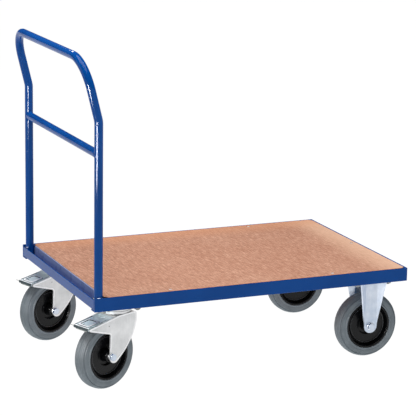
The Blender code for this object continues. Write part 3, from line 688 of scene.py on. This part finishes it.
def hoop_path():
    """Middle line of the hoop's tube, from foot to foot."""
    rise = HOOP_TOP - HOOP_KINK
    top_x = HOOP_X - rise * tan(HOOP_LEAN)
    half = [Vector((HOOP_X, -HOOP_Y, HOOP_FOOT)), Vector((HOOP_X, -HOOP_Y, HOOP_KINK)),
            Vector((top_x, -HOOP_Y, HOOP_TOP))]
    corners = half + [Vector((p.x, -p.y, p.z)) for p in reversed(half)]
    return rounded_path(corners, (KINK_BEND, TOP_BEND, TOP_BEND, KINK_BEND), (8, 20, 20, 8))


def push_hoop():
    path = hoop_path()
    shape = tube(path, [TUBE_RADIUS] * len(path), 40)
    stand_in("handle_hoop", "tube", shape, TUBE_PAINT, "frame")


def saddle(radius, clear, side, count):
    """Loop where the crossbar's surface meets an upright."""
    return [Vector((HOOP_X + x, side * (HOOP_Y - sqrt(clear ** 2 - x ** 2)), CROSSBAR_HEIGHT + z))
            for x, z in arc((0.0, 0.0), radius, 0.0, 360.0, count)[:-1]]


def crossbar():
    clear = TUBE_RADIUS + 0.0006
    bead_radius = 0.0014
    shape = skin([saddle(TUBE_RADIUS, clear, side, 40) for side in (-1.0, 1.0)])
    stand_in("handle_crossbar", "tube", shape, TUBE_PAINT, "frame")
    for name, side in SIDES:
        loop = saddle(TUBE_RADIUS + 0.0001, TUBE_RADIUS + 0.0009, side, 64)
        bead = weld_bead(loop, bead_radius, closed=True)
        add_piece(f"crossbar_weld_{name}", bead, PAINT, "frame", sharp=80.0)


def foot_welds():
    """Beads that join each upright's foot to the rails."""
    bead_radius = 0.0019
    reach = TUBE_RADIUS + 0.0004
    rear_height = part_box("rear_rail")[1].z + 0.0002
    side_height = DECK_TOP - 0.0012
    for name, side in SIDES:
        for label, start, end, height in (("rear", 130.0, 235.0, rear_height),
                                          ("side", 30.0, 128.0, side_height)):
            path = [Vector((HOOP_X + x, side * (HOOP_Y + y), height))
                    for x, y in arc((0.0, 0.0), reach, start, end, 24)]
            add_piece(f"foot_weld_{label}_{name}", weld_bead(path, bead_radius), WELD, "frame",
                      sharp=80.0)


# ---- wheels ----

def tyre_profile():
    """Grooved tyre as (radius, distance from the wheel's middle), bore to tread."""
    half = [(0.0712, 0.0218), (0.072, 0.023), (0.0738, 0.0234), (0.0758, 0.0231),
            (0.0768, 0.0218), (0.0782, 0.0213), (0.08, 0.0217), (0.085, 0.0217),
            (0.0888, 0.0216), (0.0902, 0.021), (0.0909, 0.0188), (0.0918, 0.0182),
            (0.093, 0.0192), (0.0938, 0.0191), (0.0954, 0.0176), (0.0966, 0.016),
            (0.0966, 0.015), (0.0976, 0.0142), (0.0984, 0.0128), (0.0989, 0.011),
            (0.0983, 0.0098), (0.0985, 0.009), (0.0995, 0.008), (0.0999, 0.006),
            (0.0998, 0.0042), (0.0991, 0.003), (0.0991, 0.0012)]
    return mirrored(smooth_profile(half))


def centre_profile():
    """Wheel centre as (radius, distance from the wheel's middle), hub to rim."""
    half = [(0.01, 0.0272), (0.0106, 0.028), (0.015, 0.028), (0.0164, 0.0274),
            (0.0172, 0.0262), (0.0178, 0.018), (0.0184, 0.008), (0.0196, 0.0028),
            (0.022, 0.0022), (0.0275, 0.0022), (0.0296, 0.003), (0.0304, 0.006),
            (0.031, 0.0098), (0.0322, 0.0108), (0.042, 0.0106), (0.053, 0.0106),
            (0.054, 0.0114), (0.055, 0.013), (0.0562, 0.013), (0.0572, 0.01),
            (0.0582, 0.0062), (0.0598, 0.0056), (0.0616, 0.007), (0.0628, 0.011),
            (0.0638, 0.016), (0.0646, 0.0204), (0.0656, 0.0222), (0.0672, 0.0228),
            (0.0692, 0.0227), (0.0704, 0.0219)]
    return mirrored(smooth_profile(half))


def mark(shape, inner, outer):
    """Give the second material to faces whose distance from the Y axis is in a band."""
    for face in shape.faces:
        middle = face.calc_center_median()
        if inner < hypot(middle.x, middle.z) < outer:
            face.material_index = 1


def wheel(prefix, side, place):
    """Grey tyre with a paler side wall, on a black centre with a painted highlight on its lip
    ring.
    """
    body = f"{prefix}_wheel_{side}"
    side_wall, lip = (0.07, 0.0912), (0.0545, 0.0567)
    tyre = lathe(tyre_profile(), 120)
    mark(tyre, *side_wall)
    stand_in(f"{prefix}_tyre_{side}", "moulded", tyre, RUBBER, body, place, 50.0,
             extra=(SIDEWALL,))
    centre = lathe(centre_profile(), 96)
    mark(centre, *lip)
    stand_in(f"{prefix}_wheel_centre_{side}", "moulded", centre, NYLON, body, place, 50.0,
             extra=(LIP_HIGHLIGHT,))


def hexagon(size, low, high, chamfer, inner=None):
    """Hexagon along Z with its corners turned off, or a nut when it has a bore."""
    count = 48

    def outline(height, limit):
        points = []
        for k in range(count):
            angle = 2.0 * pi * k / count
            across = (angle + pi / 6.0) % (pi / 3.0) - pi / 6.0
            radius = min(0.5 * size / cos(across), limit)
            points.append(Vector((radius * cos(angle), radius * sin(angle), height)))
        return points

    full = 0.5 * size / cos(pi / 6.0)
    sections = [outline(low, 0.5 * size + 0.0006), outline(low + 0.3 * chamfer, full),
                outline(high - chamfer, full), outline(high - 0.5 * chamfer, 0.54 * size),
                outline(high, 0.49 * size)]
    if inner:
        sections += [ring(inner, high, count), ring(inner, low, count)]
    shape = skin(sections, wrap=bool(inner))
    # Flank faces take the second material, a painted reflection.
    for face in shape.faces:
        heights = [vert.co.z for vert in face.verts]
        reach = max(vert.co.xy.length for vert in face.verts)
        if max(heights) - min(heights) > 0.001 and reach > 0.45 * size:
            face.material_index = 1
    return shape


def along_y(shape, offset, flip=False):
    """Turn a solid built up Z to point along +Y or -Y, starting at a distance along it."""
    shape.transform(Matrix.Translation((0.0, 0.0, offset)))
    shape.transform(Matrix.Rotation(radians(90.0 if flip else -90.0), 4, "X"))
    return shape


def thread(radius, low, high):
    """Threaded rod with rings for its thread."""
    pitch = 0.00175
    profile = [(0.86 * radius, low)]
    height = low
    while height < high - pitch:
        profile += [(0.9 * radius, height + 0.05 * pitch), (radius, height + 0.5 * pitch)]
        height += pitch
    profile += [(0.9 * radius, high - 0.0006), (0.78 * radius, high)]
    return solid_lathe(profile, 32)


def axle_set(prefix, side, body, place, zinc):
    """Hexagon bolt, locking nut, washers and spacer sleeve of one axle."""
    face = FORK_HALF + GAP
    thread_radius, thread_end = 0.006, 0.0099
    head = along_y(hexagon(NUT_SIZE, 0.0012, 0.0074, 0.0014), face + 0.0001, True)
    stand_in(f"{prefix}_axle_bolt_{side}", "head", head, zinc, body, place, 25.0, extra=(FLANK_REFLECTION,))
    shank = along_y(thread(thread_radius, -face - 0.0001, face + thread_end), 0.0)
    add_piece(f"{prefix}_axle_thread_{side}", shank, ZINC, body, place, 30.0)
    nut = along_y(hexagon(NUT_SIZE, 0.0012, 0.008, 0.0013, 0.0063), face + 0.0002)
    stand_in(f"{prefix}_axle_nut_{side}", "locking", nut, zinc, body, place, 25.0, extra=(FLANK_REFLECTION,))
    reach = FORK_HALF - SHEET - 0.0004
    ring_shape = [(0.0064, 0.0), (0.0112, 0.0), (0.0117, 0.0005), (0.0112, 0.0011),
                  (0.0064, 0.0011)]
    for label, flip in (("head", True), ("nut", False)):
        washer = along_y(lathe(ring_shape, 48, "Z"), face + 0.00005, flip)
        add_piece(f"{prefix}_axle_washer_{label}_{side}", washer, ZINC_AND_EDGE_HIGHLIGHT, body, place, 30.0)
    sleeve = lathe([(0.0063, -reach), (0.0063, reach), (0.0094, reach), (0.0097, reach - 0.0003),
                    (0.0097, 0.0003 - reach), (0.0094, -reach)], 40)
    stand_in(f"{prefix}_axle_sleeve_{side}", "turned", sleeve, ZINC, body, place, 30.0)


# ---- swivel castor ----

def fork_outline():
    """Fork from the side: crown above, arm to the pedal behind, leg down to the axle."""
    tip = (TRAIL - 0.008, 0.098)
    tip_radius = 0.017
    leg_start = (-0.05, 0.2)
    leg_end = (tip[0] - tip_radius * sqrt(0.5), tip[1] - tip_radius * sqrt(0.5))
    outline = [leg_start, (leg_start[0], 0.211)]
    outline += arc((-0.041, 0.212), 0.009, 168.0, 90.0, 8)
    outline += [(CROWN_END - 0.012, 0.2195), (CROWN_END, 0.2184), (0.122, 0.199)]
    outline += arc((0.1225, 0.1945), 0.0045, 80.0, -75.0, 9)
    outline += [(0.0585, 0.1712)]
    outline += arc((0.0575, 0.163), 0.008, 100.0, 180.0, 8)
    outline += arc(tip, tip_radius, 5.0, -135.0, 22)
    outline += list(reversed(bend_curve(leg_start, (-0.04, 0.135), leg_end, 20)))
    return outline


def crown_edge(half, low, end):
    """Test for the lengthwise edges between the crown and the cheeks."""
    near = 0.0001

    def test(edge):
        first, second = (vert.co for vert in edge.verts)
        middle = 0.5 * (first + second)
        if abs(abs(first.y) - half) > near or abs(abs(second.y) - half) > near:
            return False
        return first.y * second.y > 0.0 and middle.z > low and -middle.x < end

    return test


def fork_shape():
    """Pressed fork: open below, with a painted highlight round each cheek's border and a dimple
    on each cheek.
    """
    outer_bend, inner_bend, highlight_border_width = 0.0065, 0.003, 0.0046
    dimple_depth, dimple_place = 0.0016, (-0.055, 0.0, 0.194)
    shape = slab(fork_outline(), FORK_HALF)
    soften(shape, crown_edge(FORK_HALF, 0.2115, CROWN_END), outer_bend, 5)
    cheeks = sorted(shape.faces, key=lambda face: -face.calc_area())[:2]
    # A band round each cheek's face takes the rim material: a painted highlight.
    highlight_border = bmesh.ops.inset_region(shape, faces=cheeks, thickness=highlight_border_width, depth=0.0,
                                    use_even_offset=True)
    for face in highlight_border["faces"]:
        face.material_index = 1
    low = CROWN_TOP - SHEET
    inner = FORK_HALF - SHEET
    opening = slab([(-0.06, 0.06), (0.14, 0.06), (0.14, 0.24), (CROWN_END, 0.24),
                    (CROWN_END, low), (-0.06, low)], inner)
    soften(opening, crown_edge(inner, low - 0.001, CROWN_END - 0.001), inner_bend, 4)
    dimples = []
    for side in (-1.0, 1.0):
        dimple = solid_lathe([(0.0006, 0.0), (0.0016, 0.0004), (0.0027, 0.003)], 24)
        along_y(dimple, FORK_HALF - dimple_depth, side < 0.0)
        dimple.transform(Matrix.Translation(dimple_place))
        dimples.append(dimple)
    return carve(shape, opening, *dimples)


def pedal_height(u):
    """Height of the pedal's upper face at a distance behind the pin."""
    return PEDAL_TOP - PEDAL_SLOPE * (u - PEDAL_ROOT)


def rounded_box_distance(x, y, half_x, half_y, radius):
    """Distance outside a rounded rectangle round the origin, negative inside it."""
    dx = abs(x) - half_x + radius
    dy = abs(y) - half_y + radius
    outside = hypot(max(dx, 0.0), max(dy, 0.0))
    return outside + min(max(dx, dy), 0.0) - radius


def step_down(distance, width):
    """1 inside a shape, 0 outside it, with a smooth slope of the given width."""
    t = min(max(0.5 - distance / width, 0.0), 1.0)
    return t * t * (3.0 - 2.0 * t)


def pedal_pattern(u, v):
    """Distances from the raised frame's outer and inner outline and the hole's middle."""
    frame_middle = 0.101
    outer = rounded_box_distance(u - frame_middle, v, 0.0225, 0.0225, 0.007)
    inner = rounded_box_distance(u - frame_middle, v, 0.017, 0.0165, 0.005)
    return outer, inner, hypot(u - PEDAL_HOLE[0], v - PEDAL_HOLE[1])


def pedal_emboss(u, v):
    """Height of the pressed pattern on the pedal."""
    outer, inner, hole = pedal_pattern(u, v)
    rim = rounded_box_distance(u - 0.084, v, 0.043, 0.029, 0.004)
    raised = 0.0017 * step_down(outer, 0.0026) - 0.0015 * step_down(inner, 0.0026)
    sunk = 0.0006 * step_down(rim, 0.0022) + 0.0016 * step_down(hole - 0.0026, 0.0012)
    return raised - sunk + 0.0003


def pedal_shape():
    """Pressed plate with a raised frame near its tip and a rolled-down lip.

    A station is (distance behind the pin, height, tilt, place in the pressed pattern).
    """
    bend_radius, lip_step, no_pattern = 0.0042, 0.0011, 1.0
    slope = atan(PEDAL_SLOPE)
    turn_at = PEDAL_TIP - bend_radius
    stations = []
    steps, bend_steps, lip_steps, width_steps = 80, 8, 4, 56
    for k in range(steps + 1):
        u = PEDAL_ROOT + (turn_at - PEDAL_ROOT) * k / steps
        stations.append((u, pedal_height(u), -slope, u))
    base_z = pedal_height(turn_at) - bend_radius * cos(slope)
    for k in range(1, bend_steps + 1):
        angle = slope + (pi / 2.0 - slope) * k / bend_steps
        stations.append((turn_at + bend_radius * (sin(angle) - sin(slope)),
                         base_z + bend_radius * cos(angle), -angle, no_pattern))
    foot = stations[-1]
    for k in range(1, lip_steps + 1):
        stations.append((foot[0], foot[1] - lip_step * k, foot[2], no_pattern))
    across = [PEDAL_HALF * (2.0 * k / width_steps - 1.0) for k in range(width_steps + 1)]
    rows = []
    for u, z, angle, along in stations:
        row = []
        for v in across:
            lift = pedal_emboss(along, v) - 0.5 * PEDAL_SHEET
            row.append(Vector((-u - lift * sin(-angle), v, z + lift * cos(angle))))
        rows.append(row)
    sheet = grid_sheet(rows)
    # The pedal's face is split into zones of plain zinc, painted highlight and painted shade.
    for face in sheet.faces:
        middle = face.calc_center_median()
        face.material_index = pedal_zone(-middle.x, middle.y)
    return thickened(sheet, PEDAL_SHEET - 0.0006)


def pedal_zone(u, v):
    """Number of the pedal's material at a place: plain, painted highlight, painted shade, or
    painted shade in the hole mark.
    """
    plain, bright, painted_shade, dark = 0, 1, 2, 3
    lip_front, lip_back, fork_end = 0.129, 0.1262, 0.062
    outer, inner, hole = pedal_pattern(u, v)
    edge = min(PEDAL_HALF - abs(v), u - PEDAL_ROOT)
    if u > lip_front:
        return painted_shade
    if u > lip_back:
        return bright
    if hole < 0.0036:
        return dark
    if inner < -0.001:
        return plain
    if inner < 0.0012:
        return painted_shade
    if outer < 0.0:
        return bright
    if u > fork_end and (outer < 0.002 or edge < 0.003):
        return painted_shade
    return plain


def pedal_ears(side, lever, castor):
    """Ears under the pedal and the stubs that they turn on."""
    below, ear_radius, ear_place, stub_start = 0.0034, 0.008, 0.0293, 0.0296
    pivot = Vector(JOINTS[f"brake_pedal_press_{side}"]["pos_m"])
    local = castor.inverted() @ pivot
    centre = (-local.x, local.z)
    ear = [(u, pedal_height(u) - below) for u in (0.04, 0.07)]
    ear += arc(centre, ear_radius, 0.0, -180.0, 14)
    for label, sign in (("a", -1.0), ("b", 1.0)):
        shape = slab(list(reversed(ear)), 0.0012, sign * ear_place)
        add_piece(f"pedal_ear_{label}_{side}", shape, TEAL_ZINC, lever, castor, 30.0, 0.0004, 2)
        stub = solid_lathe([(0.0026, 0.0), (0.003, 0.0004), (0.003, 0.0052), (0.0024, 0.006)], 24)
        along_y(stub, stub_start, sign < 0.0)
        stub.transform(Matrix.Translation((local.x, 0.0, local.z)))
        add_piece(f"pedal_stub_{label}_{side}", stub, DULL_ZINC, lever, castor, 30.0)


def spring_wire(side, lever, castor):
    """Thin wire along the pedal's underside that turns out past its left edge."""
    radius, bend_radius, root, across, reach = 0.0008, 0.003, 0.075, 0.0255, 0.0496
    below = PEDAL_SHEET + 0.0021
    turn = PEDAL_TIP - PEDAL_SHEET - 0.0013
    corners = [Vector((-u, v, pedal_height(u) - below))
               for u, v in ((root, across), (turn, across), (turn, reach))]
    path = rounded_path(corners, (bend_radius,), (10,))
    wire = tube(path, [radius] * len(path), 16)
    stand_in(f"brake_spring_{side}", "wire", wire, DULL_ZINC, lever, castor)


def races(side, castor):
    """Two ball races and the kingpin through them."""
    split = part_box(f"upper_race_{side}")[0].z
    top = PLATE_LOW - GAP
    upper = [(0.008, split), (0.044, split), (0.0464, split + 0.0002), (0.0482, split + 0.0012),
             (0.0492, split + 0.003), (0.0498, split + 0.0052), (0.05, top), (0.008, top)]
    stand_in(f"upper_race_{side}", "pressed", lathe(upper, 96, "Z"), ZINC, "frame", castor, 40.0)
    low, high = CROWN_TOP + GAP, split - GAP
    lower = [(0.0083, low), (0.0366, low), (0.038, low + 0.0012), (0.038, 0.2254),
             (0.0388, 0.2262), (0.0448, 0.2264), (0.0462, 0.2272), (0.047, 0.229),
             (0.047, high - 0.001), (0.0462, high - 0.0002), (0.045, high), (0.0083, high)]
    stand_in(f"lower_race_{side}", "pressed", lathe(lower, 96, "Z"), ZINC, f"rear_fork_{side}",
             castor, 40.0)
    pin_low, pin_high = (corner.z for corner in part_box(f"kingpin_{side}"))
    pin = [(0.0095, pin_low), (0.0124, pin_low + 0.0006), (0.0138, pin_low + 0.0022),
           (0.014, pin_low + 0.003), (0.014, pin_low + 0.007), (0.0077, pin_low + 0.007),
           (0.0077, pin_high - 0.0004), (0.0073, pin_high)]
    stand_in(f"kingpin_{side}", "turned", solid_lathe(pin, 48), ZINC, "frame", castor, 40.0)


def swivel_castor(side):
    """Braked castor, with its fork turned as the CAD's is."""
    fork, lever = f"rear_fork_{side}", f"brake_lever_{side}"
    swivel = JOINTS[f"rear_swivel_{side}"]["pos_m"]
    spin = JOINTS[f"rear_wheel_spin_{side}"]
    yaw = Matrix.Rotation(atan2(-spin["axis"][0], spin["axis"][1]), 4, "Z")
    castor = Matrix.Translation((swivel[0], swivel[1], 0.0)) @ yaw
    axle = Matrix.Translation(spin["pos_m"]) @ yaw
    upright = Matrix.Translation((swivel[0], swivel[1], 0.0))
    wheel("rear", side, axle)
    axle_set("rear", side, fork, axle, ZINC_BLUE)
    # The fork's bevels and cheek borders take a painted edge highlight.
    stand_in(f"swivel_fork_{side}", "pressed", fork_shape(), ZINC, fork, castor, 32.0,
             bevel=0.0016, rim=ZINC_AND_EDGE_HIGHLIGHT)
    stand_in(f"brake_pedal_{side}", "pressed", pedal_shape(), TEAL_ZINC, lever, castor, 60.0,
             extra=(PEDAL_HIGHLIGHT, SHADE_ZINC, HOLE_SHADE))
    pedal_ears(side, lever, castor)
    rounded_copy(f"brake_jaw_{side}", DULL_ZINC, lever, bevel=0.0004)
    spring_wire(side, lever, castor)
    races(side, upright)
    # The plate's bevels take a painted edge highlight.
    rounded_copy(f"swivel_plate_{side}", ZINC, "frame", 0.0008, segments=3, rim=ZINC_AND_EDGE_HIGHLIGHT)


# ---- fixed castor ----

def leg_rows():
    """Middle surface of the pressed leg: (height, half width, flare, turn-out)."""
    flare_low, flare_high, wing = 0.105, 0.237, 0.022
    turn_out, turn_step, axle_drop, step_angle, flatness = 0.004, 0.0009, 0.005, 4.3, 0.985
    rows = []
    for k in range(8):
        height = PLATE_LOW + 0.001 - turn_step * k
        rows.append((height, STRIP_HALF + wing, 1.0, turn_out * (1.0 - k / 7.0) ** 2))
    flare_top = PLATE_LOW - 0.006
    for k in range(41):
        height = flare_top - (flare_top - flare_low) * k / 40
        amount = min(1.0, (height - flare_low) / (flare_high - flare_low))
        rows.append((height, STRIP_HALF + wing * amount, amount, 0.0))
    for k in range(1, 21):
        angle = radians(step_angle * k)
        drop = axle_drop * min(1.0, k / 4.0) + STRIP_HALF * sin(angle) * flatness
        rows.append((flare_low - drop, STRIP_HALF * cos(angle), 0.0, 0.0))
    return rows


def fixed_leg(sign):
    """Pressed leg: a flat strip round the axle whose wings flare out towards the plate."""
    crease, lift, softness, least = 0.0185, 0.016, 0.0012, 0.0001
    rear_crease, front_crease, crease_low = (-0.0205, -0.0165), (crease, 0.0198), 0.112
    middle = FORK_HALF - 0.5 * SHEET
    rows = []
    for height, half, flare, turn in leg_rows():
        row = []
        for k in range(-32, 33):
            x = half * k / 32.0
            beyond = max(0.0, abs(x) - crease)
            span = max(least, half - crease)
            ease = beyond * beyond / (beyond + softness)
            rise = flare * lift * ease / max(least, span * span / (span + softness))
            row.append(Vector((x, sign * (middle + rise + turn), height)))
        rows.append(row)
    sheet = grid_sheet(rows)
    # Faces along the creases take darker blue zinc: painted shade.
    for face in sheet.faces:
        place = face.calc_center_median()
        crease_shaded = any(low < place.x < high for low, high in (rear_crease, front_crease))
        if crease_shaded and place.z > crease_low:
            face.material_index = 2
    return thickened(sheet, SHEET)


def top_plate():
    """Plate of the same size as the turning castors' plates."""
    low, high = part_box("swivel_plate_right")
    outline = rounded_rectangle(high.x - low.x, high.y - low.y, 0.008, 6)
    return skin([[Vector((x, y, z)) for x, y in outline] for z in (PLATE_LOW, PLATE_HIGH)])


def fixed_castor(side):
    """Fixed castor: a plate, two pressed legs and a wheel."""
    spin = JOINTS[f"front_wheel_spin_{side}"]["pos_m"]
    axle = Matrix.Translation(spin)
    castor = Matrix.Translation((spin[0], spin[1], 0.0))
    wheel("front", side, axle)
    axle_set("front", side, "frame", axle, ZINC_BLUE)
    # The plate's and the legs' bevels take a painted edge highlight.
    stand_in(f"front_bracket_{side}", "plate", top_plate(), ZINC_BLUE, "frame", castor, 30.0,
             bevel=0.0008, rim=ZINC_AND_EDGE_HIGHLIGHT)
    for label, sign in (("outer", -1.0), ("inner", 1.0)):
        add_piece(f"front_bracket_{side}_leg_{label}", fixed_leg(sign), ZINC_BLUE, "frame",
                  castor, 50.0, bevel=0.0012, rim=ZINC_AND_EDGE_HIGHLIGHT, extra=(CREASE_SHADE,))


# ---- studio ----

def camera():
    """Camera behind the truck on its right, fitted to the photo."""
    yaw, down, roll = (radians(angle) for angle in (23.23, 13.319, 0.887))
    forward = Vector((sin(yaw) * cos(down), cos(yaw) * cos(down), -sin(down)))
    level = Vector((cos(yaw), -sin(yaw), 0.0))
    up = level.cross(forward)
    right = cos(roll) * level + sin(roll) * up
    top = cos(roll) * up - sin(roll) * level
    data = bpy.data.cameras.new("camera")
    data.lens = 170.97
    data.sensor_width = 36.0
    data.clip_start = 0.1
    data.clip_end = 200.0
    item = put("camera", data)
    matrix = Matrix((right, top, -forward)).transposed().to_4x4()
    matrix.translation = Vector((REAR_X - 1.8227, -HALF_WIDTH - 5.0461, 1.8242))
    item.matrix_world = matrix
    bpy.context.scene.camera = item


def floor():
    """White paper that glows, so that it takes no shadow."""
    mesh = bpy.data.meshes.new("studio_floor")
    size = 45.0
    mesh.from_pydata([(-size, -size, 0.0), (size, -size, 0.0), (size, size, 0.0),
                      (-size, size, 0.0)], [], [(0, 1, 2, 3)])
    item = put("studio_floor", mesh)
    paper = Surface("studio_paper", None, 0.0, 1.0, 0.0)
    paper.base(paper.ramp(paper.noise(2.0), [(0.3, 0.04), (0.7, 0.05)]))
    paper.shader.inputs["Emission Color"].default_value = (1.0, 1.0, 1.0, 1.0)
    paper.shader.inputs["Emission Strength"].default_value = 1.0
    mesh.materials.append(paper.material)


def area_light(name, location, target, size, power, glossy_only=False):
    """Soft box that points at a target."""
    data = bpy.data.lights.new(name, "AREA")
    data.shape = "RECTANGLE"
    data.size, data.size_y = size
    data.energy = power
    item = put(name, data)
    item.location = location
    aim = Vector(target) - Vector(location)
    item.rotation_euler = aim.to_track_quat("-Z", "Y").to_euler()
    item.visible_camera = False
    item.visible_diffuse = not glossy_only


def world():
    """Soft room light, brighter from the handle end and above, dim from the front end."""
    sky = bpy.data.worlds.new("studio")
    bpy.context.scene.world = sky
    sky.use_nodes = True
    light = Nodes(sky.node_tree)
    place = light.node("TexCoord").outputs["Generated"]
    above = light.node("MapRange", **{"To Min": 0.85, "To Max": 1.9})
    ramp = light.node("MapRange", **{"From Min": 0.45, "From Max": 0.88, "To Max": 0.05})
    light.link(light.part(place, "Z"), above.inputs["Value"])
    light.link(above.outputs["Result"], ramp.inputs["To Min"])
    light.link(light.part(place, "X"), ramp.inputs["Value"])
    light.link(ramp.outputs["Result"], light.tree.nodes["Background"].inputs["Strength"])


def studio():
    camera()
    floor()
    world()
    area_light("top_box", location=(-0.4, -0.4, 3.2), target=(0.0, 0.0, 0.3), size=(3.0, 2.2),
               power=118.0)
    area_light("left_box", location=(-3.4, 0.6, 1.3), target=(-0.4, 0.0, 0.4),
               size=(2.2, 1.6), power=18.0)
    area_light("bend_glint", location=(-0.285, 1.09, 1.6), target=(-0.5, -0.25, HOOP_TOP),
               size=(0.13, 0.13), power=2.5, glossy_only=True)
    area_light("streak_box", location=(HOOP_X - 0.9, -0.84, 0.54), target=(HOOP_X, -0.84, 0.54),
               size=(0.86, 0.32), power=68.0, glossy_only=True)
    bpy.context.scene.view_settings.view_transform = "Standard"


frame_and_deck()
for number in range(1, 6):
    screw_head(number)
push_hoop()
crossbar()
foot_welds()
for side in ("left", "right"):
    swivel_castor(side)
    fixed_castor(side)
studio()

bpy.context.view_layer.update()
